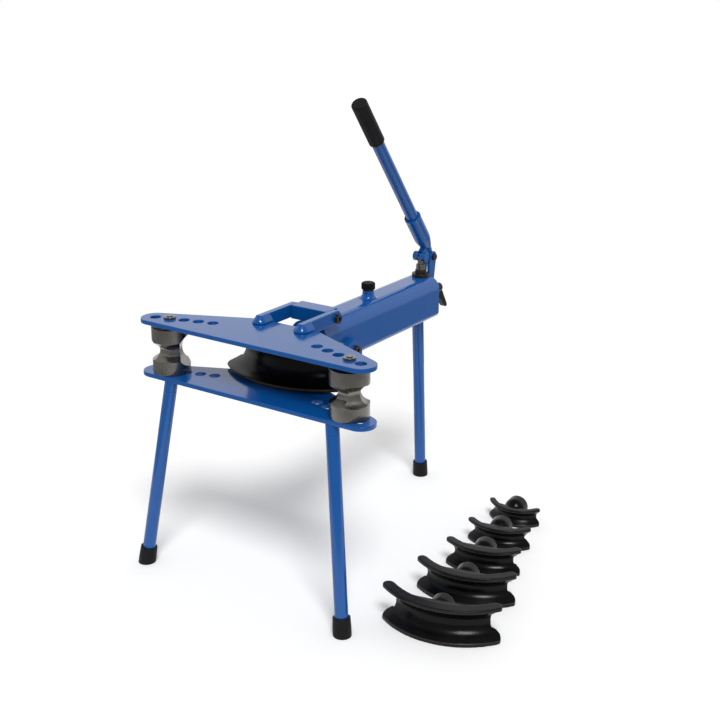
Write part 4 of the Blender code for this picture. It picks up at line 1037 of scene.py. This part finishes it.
@dataclass
class Pump:
    """Gland nut, piston with its tongue, and the ears that carry the lever."""

    nut_width: float = 28 * MM
    flange_radius: float = 22.5 * MM
    flange_height: float = 9 * MM
    bore: float = 12.3 * MM
    piston_radius: float = 12 * MM
    tongue: float = 10 * MM
    tongue_length: float = 20.4 * MM
    tongue_radius: float = 8 * MM
    pin_radius: float = 4 * MM
    ear_depth: float = 26 * MM
    ear_radius: float = 15 * MM
    ear_reach: float = 19 * MM
    pivot_radius: float = 5 * MM
    pivot_head: float = 9 * MM
    pivot_head_height: float = 5.5 * MM

    def nut(self) -> None:
        """Hexagon nut on a round flange, its corners turned off."""
        low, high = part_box("gland_nut")
        centre = (low + high) / 2
        height = high.z - low.z
        corner = self.nut_width / math.sqrt(3)
        hexagon = ring((centre.x, centre.y), corner, 6)
        nut = slab("black_gland_nut", [hexagon], height, Matrix.Translation((0, 0, centre.z)), 0)
        turned = lathe("turning", [(0, -0.1 * MM), (corner, -0.1 * MM), (corner, height - 1.6 * MM),
                                   (self.nut_width / 2, height + 0.1 * MM), (0, height + 0.1 * MM)],
                       (centre.x, centre.y, low.z), (0, 0, 1))
        step = nut.modifiers.new("turning", "BOOLEAN")
        step.operation = "INTERSECT"
        step.object = turned
        nut = freeze(nut)
        bpy.data.objects.remove(turned, do_unlink=True)
        profile = rounded([(0, 0), (self.flange_radius, 0), (self.flange_radius, self.flange_height),
                           (0, self.flange_height)], 1 * MM)
        flange = lathe("flange", profile, (centre.x, centre.y, low.z), (0, 0, 1))
        nut = work(nut, Operation.JOIN, flange)
        past = 1 * MM
        hole = bar("hole", self.bore, (centre.x, centre.y, low.z - past),
                   (centre.x, centre.y, high.z + past), 0)
        nut = work(nut, Operation.CUT, hole)
        dress(ease_edges(nut, 0.5 * MM), BLACKENED, "frame", "gland_nut")

    def piston(self) -> None:
        """Piston with a flat tongue for the link pin, and the pin."""
        low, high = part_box("pump_piston")
        centre = (low + high) / 2
        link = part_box("link_pin")
        link_z = (link[0].z + link[1].z) / 2
        shoulder = link_z - self.tongue_length
        piston = bar("steel_pump_piston", self.piston_radius, (centre.x, centre.y, low.z),
                     (centre.x, centre.y, shoulder), 1.2 * MM)
        r = self.tongue_radius
        outline = [(centre.y - r, shoulder - r), (centre.y + r, shoulder - r)]
        outline += arc((centre.y, link_z), r, 0, math.pi, 24)
        hole = ring((centre.y, link_z), self.pin_radius + GAP, 32)
        piston = work(piston, Operation.JOIN, slab("tongue", [outline, hole], self.tongue, side_place(0), 0))
        dress(ease_edges(piston, 0.5 * MM), STEEL, "pump_piston", "pump_piston")
        pin = bar("black_link_pin", self.pin_radius, (link[0].x, centre.y, link_z),
                  (link[1].x, centre.y, link_z), 0.8 * MM, 40)
        dress(pin, BLACKENED, "pump_piston", "link_pin")

    def ears(self) -> None:
        """Two ears welded to the casing's rear face, and the pivot bolt through them."""
        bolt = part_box("pivot_bolt")
        pivot = ((bolt[0].y + bolt[1].y) / 2, (bolt[0].z + bolt[1].z) / 2)
        for label in ("left", "right"):
            node = "pivot_ear_" + label
            low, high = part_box(node)
            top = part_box("casing")[1].z
            waist = pivot[0] - self.ear_reach
            outline = [(low.y, low.z), (low.y + self.ear_depth, low.z)]
            outline += arc(pivot, self.ear_radius, 0, math.pi, 24)
            outline += [(waist, pivot[1] - self.ear_radius), (waist, top + 1 * MM), (low.y, top - 3 * MM)]
            hole = ring(pivot, self.pivot_radius + GAP, 32)
            ear = slab("enamelled_" + node, [outline, hole], high.x - low.x,
                       side_place((low.x + high.x) / 2), 1.2 * MM)
            dress(even_shading(ear), ENAMEL, "frame", node)
        head = self.pivot_head_height
        length = bolt[1].x - bolt[0].x
        profile = [(0, 0), (self.pivot_head, 0), (self.pivot_head, head), (self.pivot_radius, head),
                   (self.pivot_radius, length - head), (self.pivot_head, length - head),
                   (self.pivot_head, length), (0, length)]
        pivot_bolt = lathe("black_pivot_bolt", rounded(profile, 1.2 * MM), (bolt[0].x, *pivot), (1, 0, 0))
        dress(even_shading(pivot_bolt), BLACKENED, "frame", "pivot_bolt")

    def build(self) -> None:
        """Make the pump's outer pieces."""
        self.nut()
        self.piston()
        self.ears()


@dataclass
class Lever:
    """Forked lever with the handle's socket, the loose tube and its grip."""

    lean: float = math.radians(38.9)
    offset: float = 8.4 * MM
    socket_start: float = 68 * MM
    socket_end: float = 147 * MM
    socket_radius: float = 21.5 * MM
    socket_floor: float = 16 * MM
    tube_radius: float = 15.5 * MM
    tube_wall: float = 2.5 * MM
    tube_end: float = 536 * MM
    grip_radius: float = 19.5 * MM
    grip_start: float = 417 * MM
    grip_end: float = 542 * MM
    web: float = 16 * MM
    boss_length: float = 37 * MM
    boss_radius: float = 12.5 * MM
    neck_start: float = 24 * MM
    hub_radius: float = 12 * MM
    pivot_bore: float = 5.3 * MM
    fork_half_gap: float = 5.3 * MM
    fork_room: float = 10.5 * MM
    slot_radius: float = 4.6 * MM
    slot_travel: float = 2.2 * MM
    rim: float = 2 * MM
    skin: float = 0.8 * MM

    def __post_init__(self) -> None:
        """Take the pivot and the link from the frame."""
        bolt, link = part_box("pivot_bolt"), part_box("link_pin")
        self.pivot = Vector(((bolt[0].y + bolt[1].y) / 2, (bolt[0].z + bolt[1].z) / 2))
        self.link = Vector(((link[0].y + link[1].y) / 2, (link[0].z + link[1].z) / 2))
        self.direction = Vector((0, -math.sin(self.lean), math.cos(self.lean)))
        forward = Vector((0, math.cos(self.lean), math.sin(self.lean)))
        self.origin = Vector((0, *self.pivot)) + self.offset * forward

    def on_axis(self, distance: float) -> Vector:
        """Point on the handle's axis, measured from abreast of the pivot."""
        return self.origin + self.direction * distance

    def fork(self) -> None:
        """Forged fork and socket, welded and enamelled as one."""
        reach = (self.link - self.pivot).length
        towards = (self.link - self.pivot) / reach
        centre = self.pivot + towards * (reach + self.slot_travel / 3)
        across = Vector((math.cos(self.lean), math.sin(self.lean)))
        neck = Vector(self.on_axis(self.neck_start + self.socket_floor).yz)
        ends = [tuple(neck + across * (side * 0.6 * self.socket_radius)) for side in (-1, 1)]
        web = hull(ring(tuple(self.pivot), self.hub_radius, 48)
                   + ring(tuple(centre), self.boss_radius - self.rim, 48) + ends)
        lever = slab("enamelled_pump_lever", [web], self.web, side_place(0), 0)
        half = self.boss_length / 2
        boss = bar("boss", self.boss_radius, (-half, *centre), (half, *centre), self.rim)
        radius = self.socket_radius
        start, end = self.neck_start, self.socket_end
        profile = [(0, start), (0.5 * radius, start), (0.7 * radius, start + 12 * MM),
                   (0.92 * radius, start + 34 * MM), (radius - 0.5 * MM, start + 43 * MM),
                   (radius - 0.5 * MM, end - 7 * MM), (radius, end - 6 * MM), (radius, end), (0, end)]
        socket = lathe("socket", profile, self.on_axis(0), self.direction)
        lever = work(lever, Operation.JOIN, boss, socket)
        gap = self.fork_half_gap
        past = 3 * self.boss_radius
        room = self.fork_room + self.slot_travel
        fork = block("fork", (-gap, self.link.x - past, self.link.y - past),
                     (gap, self.link.x + room, self.link.y - 1 * MM))
        crown = bar("crown", room, (-gap, *self.link), (gap, *self.link), 0)
        pin = self.slot_radius
        ends = [tuple(centre + towards * (side * self.slot_travel)) for side in (-1, 1)]
        slot = slab("slot", [hull(ring(ends[0], pin, 32) + ring(ends[1], pin, 32))], 0.8 * self.boss_length,
                    side_place(0), 0)
        hole = bar("hole", self.pivot_bore, (-past, *self.pivot), (past, *self.pivot), 0)
        bore = bar("bore", self.tube_radius + GAP, self.on_axis(self.socket_start + self.socket_floor),
                   self.on_axis(self.socket_end + 5 * MM), 0)
        lever = work(lever, Operation.CUT, fork, crown, slot, hole, bore)
        dress(cast(lever, self.skin, 3), ENAMEL, "pump_lever", "pump_lever")

    def handle(self) -> None:
        """Loose tube in the socket, and the rubber grip over its end."""
        start = self.socket_start + self.socket_floor + GAP
        length = self.tube_end - start
        inner = self.tube_radius - self.tube_wall
        profile = [(inner, 0), (self.tube_radius, 0), (self.tube_radius, length), (inner, length)]
        tube = lathe("enamelled_handle_tube", rounded(profile, 0.6 * MM, closed=True), self.on_axis(start),
                     self.direction, closed=True)
        dress(even_shading(tube), ENAMEL, "handle", "handle_tube")
        length = self.grip_end - self.grip_start
        bore = self.tube_radius + GAP
        cover = self.tube_end + GAP - self.grip_start
        outer = rounded([(bore, 0), (self.grip_radius, 0), (self.grip_radius, length), (0, length)],
                        5 * MM, steps=8)
        grip = lathe("rubber_handle_grip", [(0, cover), (bore, cover)] + outer, self.on_axis(self.grip_start),
                     self.direction)
        dress(even_shading(grip), RUBBER, "handle", "handle_grip")

    def build(self) -> None:
        """Make the lever and the handle."""
        self.fork()
        self.handle()


@dataclass
class ReleaseValve:
    """Black cast lever on the release spindle."""

    hub_radius: float = 12 * MM
    hub_length: float = 18 * MM
    root_radius: float = 7 * MM
    blade_thickness: float = 16 * MM
    blade_width: float = 15 * MM
    blade_tip: float = 5 * MM

    def build(self) -> None:
        """Join hub and blade, and skin them as one casting."""
        low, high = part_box("release_lever")
        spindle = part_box("release_spindle")
        x, z = (spindle[0].x + spindle[1].x) / 2, (spindle[0].z + spindle[1].z) / 2
        tip = (high.y - self.blade_tip, low.z + self.blade_tip - 3 * MM)
        middle = ((low.y + high.y) / 2 - 6 * MM, z - 24 * MM)
        blade = hull(ring((low.y + self.root_radius + 0.6 * MM, z + 3 * MM), self.root_radius, 32)
                     + ring(middle, self.blade_width / 2, 32) + ring(tip, self.blade_tip, 24))
        lever = bar("cast_release_lever", self.hub_radius, (x, low.y, z), (x, low.y + self.hub_length, z), 0)
        lever = work(lever, Operation.JOIN, slab("blade", [blade], self.blade_thickness, side_place(x), 0))
        hole = bar("hole", 6.3 * MM, (x, low.y - 1 * MM, z), (x, high.y, z), 0)
        lever = work(lever, Operation.CUT, hole)
        dress(cast(lever, 0.7 * MM, 4), CASTING, "release_valve", "release_lever")


@dataclass
class Legs:
    """Leg stubs, tubes and rubber feet."""

    radius: float = 15 * MM
    wall: float = 2.5 * MM
    collar: float = 24 * MM
    foot_radius: float = 20.4 * MM
    foot_height: float = 42 * MM
    foot_floor: float = 8 * MM
    front_top: Point2 = (222.5 * MM, -19 * MM)
    front_foot: Point2 = (283.3 * MM, -69.4 * MM)
    rear_top: float = -34.5 * MM

    def one(self, label: str, top: Vector, foot: Vector) -> None:
        """One leg from its top at the machine to its sole."""
        down = (foot - top).normalized()
        slope = self.radius * math.tan(down.angle(Vector((0, 0, -1))))
        seam = top + down * self.collar
        stub = bar("enamelled_leg_stub_" + label, self.radius, top - down * 2 * slope, seam, 0.8 * MM)
        reach = 4 * self.radius
        stub = work(stub, Operation.CUT, block("above", (top.x - reach, top.y - reach, top.z),
                                               (top.x + reach, top.y + reach, top.z + reach)))
        dress(even_shading(stub), ENAMEL, "frame", "leg_stub_" + label)
        start = seam + down * GAP
        length = (foot - start).length - self.foot_floor
        inner = self.radius - self.wall
        profile = [(inner, 0), (self.radius, 0), (self.radius, length), (inner, length)]
        tube = lathe("enamelled_leg_" + label, rounded(profile, 0.8 * MM, closed=True), start, down,
                     closed=True)
        dress(even_shading(tube), ENAMEL, "frame", "leg_" + label)
        full = self.foot_height + self.foot_floor
        bore = self.radius + GAP
        bottom = self.foot_height - self.foot_floor + GAP
        outer = rounded([(bore, 0), (self.foot_radius - 1 * MM, 0), (self.foot_radius, full * 0.5),
                         (self.foot_radius, full), (0, full)], 3 * MM)
        rubber = lathe("rubber_foot_" + label, [(0, bottom), (bore, bottom)] + outer,
                       foot - down * self.foot_height, down)
        rubber = work(rubber, Operation.CUT, block("floor", (foot.x - reach, foot.y - reach, -reach),
                                                   (foot.x + reach, foot.y + reach, 0)))
        dress(ease_edges(rubber, 1.2 * MM), RUBBER, "frame", "foot_" + label)

    def build(self, hole_row: float) -> None:
        """Make the three legs.

        Args:
            hole_row: Y of the outermost pin holes.
        """
        plate_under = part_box("lower_plate")[0].z - GAP
        casing_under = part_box("casing")[0].z - GAP
        for label, side in (("front_left", -1), ("front_right", 1)):
            self.one(label, Vector((side * self.front_top[0], hole_row + self.front_top[1], plate_under)),
                     Vector((side * self.front_foot[0], hole_row + self.front_foot[1], 0)))
        self.one("rear", Vector((0, self.rear_top, casing_under)), Vector((0, 0, 0)))


@dataclass
class Studio:
    """Pale floor, soft light and the photograph's viewpoint."""

    eye: tuple[float, float, float] = (1494.9 * MM, -2552.8 * MM, 1363.7 * MM)
    yaw: float = 33.67
    pitch: float = 19.17
    roll: float = 0.386
    focal_share: float = 1154.4 / 720
    floor_size: float = 1.35
    floor_centre: Point2 = (0.1, -0.4)
    ambient: float = 0.55
    ceiling: float = 0.3
    ceiling_band: Point2 = (0.5, 0.85)
    beyond: float = 0.3
    beyond_band: Point2 = (-0.3, -0.02)
    front: float = 0.35
    front_band: Point2 = (-0.3, 0.4)
    key_from: tuple[float, float, float] = (0.38, -0.42, 0.82)
    key_strength: float = 1.95
    key_spread: float = 20.0

    def camera(self) -> None:
        """Camera at the photograph's viewpoint."""
        data = bpy.data.cameras.new("viewpoint")
        data.sensor_width = 36.0
        data.lens = self.focal_share * data.sensor_width
        data.clip_end = 200.0
        camera = bpy.data.objects.new("viewpoint", data)
        turn = Matrix.Rotation(math.radians(self.yaw), 4, "Z") @ Matrix.Rotation(
            math.radians(90 - self.pitch), 4, "X") @ Matrix.Rotation(math.radians(self.roll), 4, "Z")
        camera.matrix_world = Matrix.Translation(self.eye) @ turn
        bpy.context.scene.collection.objects.link(camera)
        bpy.context.scene.camera = camera

    def floor(self) -> None:
        """White floor that takes the machine's soft shadow."""
        bm = bmesh.new()
        bmesh.ops.create_circle(bm, cap_ends=True, segments=96, radius=self.floor_size,
                                matrix=Matrix.Translation((*self.floor_centre, 0)))
        ground = from_bmesh("floor", bm)
        made = bpy.data.materials.new("studio_floor")
        made.use_nodes = True
        shader = made.node_tree.nodes["Principled BSDF"]
        shader.inputs["Base Color"].default_value = linear("FFFFFF")
        shader.inputs["Roughness"].default_value = 0.9
        shader.inputs["Specular IOR Level"].default_value = 0.0
        ground.data.materials.append(made)

    def world(self) -> None:
        """White for the camera and plain for the object; gloss sees it darker overhead, low and in front."""
        made = bpy.data.worlds.new("studio")
        bpy.context.scene.world = made
        made.use_nodes = True
        tree = made.node_tree
        ground = tree.nodes["Background"]
        ground.inputs["Color"].default_value = (1, 1, 1, 1)
        path = add_node(tree, "ShaderNodeLightPath").outputs
        mirror = add_node(tree, "ShaderNodeMath", {"operation": "MAXIMUM"},
                          {0: path["Is Glossy Ray"], 1: path["Is Transmission Ray"]})
        towards = add_node(tree, "ShaderNodeTexCoord").outputs["Generated"]
        height = add_node(tree, "ShaderNodeSeparateXYZ", inputs={0: towards}).outputs["Z"]
        yaw = math.radians(self.yaw)
        behind = add_node(tree, "ShaderNodeVectorMath", {"operation": "DOT_PRODUCT"},
                          {0: towards, 1: (-math.sin(yaw), math.cos(yaw), 0.0)}).outputs["Value"]
        shares = []
        for value, (start, end), low, high in ((height, self.ceiling_band, 1.0, self.ceiling),
                                               (height, self.beyond_band, self.beyond, 1.0),
                                               (behind, self.front_band, self.front, 1.0)):
            shares.append(add_node(tree, "ShaderNodeMapRange", inputs={
                "Value": value, "From Min": start, "From Max": end,
                "To Min": low, "To Max": high}).outputs[0])
        least = add_node(tree, "ShaderNodeMath", {"operation": "MINIMUM"}, {0: shares[0], 1: shares[1]})
        least = add_node(tree, "ShaderNodeMath", {"operation": "MINIMUM"},
                         {0: least.outputs[0], 1: shares[2]})
        light = add_node(tree, "ShaderNodeMapRange", inputs={
            "Value": path["Is Camera Ray"], "To Min": self.ambient, "To Max": 1.0})
        strength = add_node(tree, "ShaderNodeMix", {"data_type": "FLOAT"},
                            {0: mirror.outputs[0], 2: light.outputs[0], 3: least.outputs[0]})
        tree.links.new(strength.outputs[0], ground.inputs["Strength"])

    def key(self) -> None:
        """A wide soft key light over the camera's right shoulder."""
        data = bpy.data.lights.new("key", "SUN")
        data.energy = self.key_strength
        data.angle = math.radians(self.key_spread)
        lamp = bpy.data.objects.new("key", data)
        lamp.rotation_euler = Vector([-c for c in self.key_from]).to_track_quat("-Z", "Y").to_euler()
        bpy.context.scene.collection.objects.link(lamp)

    def build(self) -> None:
        """Set the stage."""
        self.camera()
        self.floor()
        self.world()
        self.key()


def main() -> None:
    """Build the dressed machine in order."""
    logging.basicConfig(level=logging.INFO, format="%(message)s")
    view = bpy.context.scene.view_settings
    view.view_transform = "Standard"
    plates = Plates()
    hole_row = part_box("lower_plate")[0].y + plates.tip_radius
    Studio().build()
    PALETTE.dress_nodes()
    plates.build()
    Legs().build(hole_row)
    CounterFormers().build()
    Casing().build()
    Arms().build()
    Filler().build()
    Pump().build()
    Lever().build()
    ReleaseValve().build()
    FormerSet().build(hole_row)


if __name__ == "__main__":
    main()
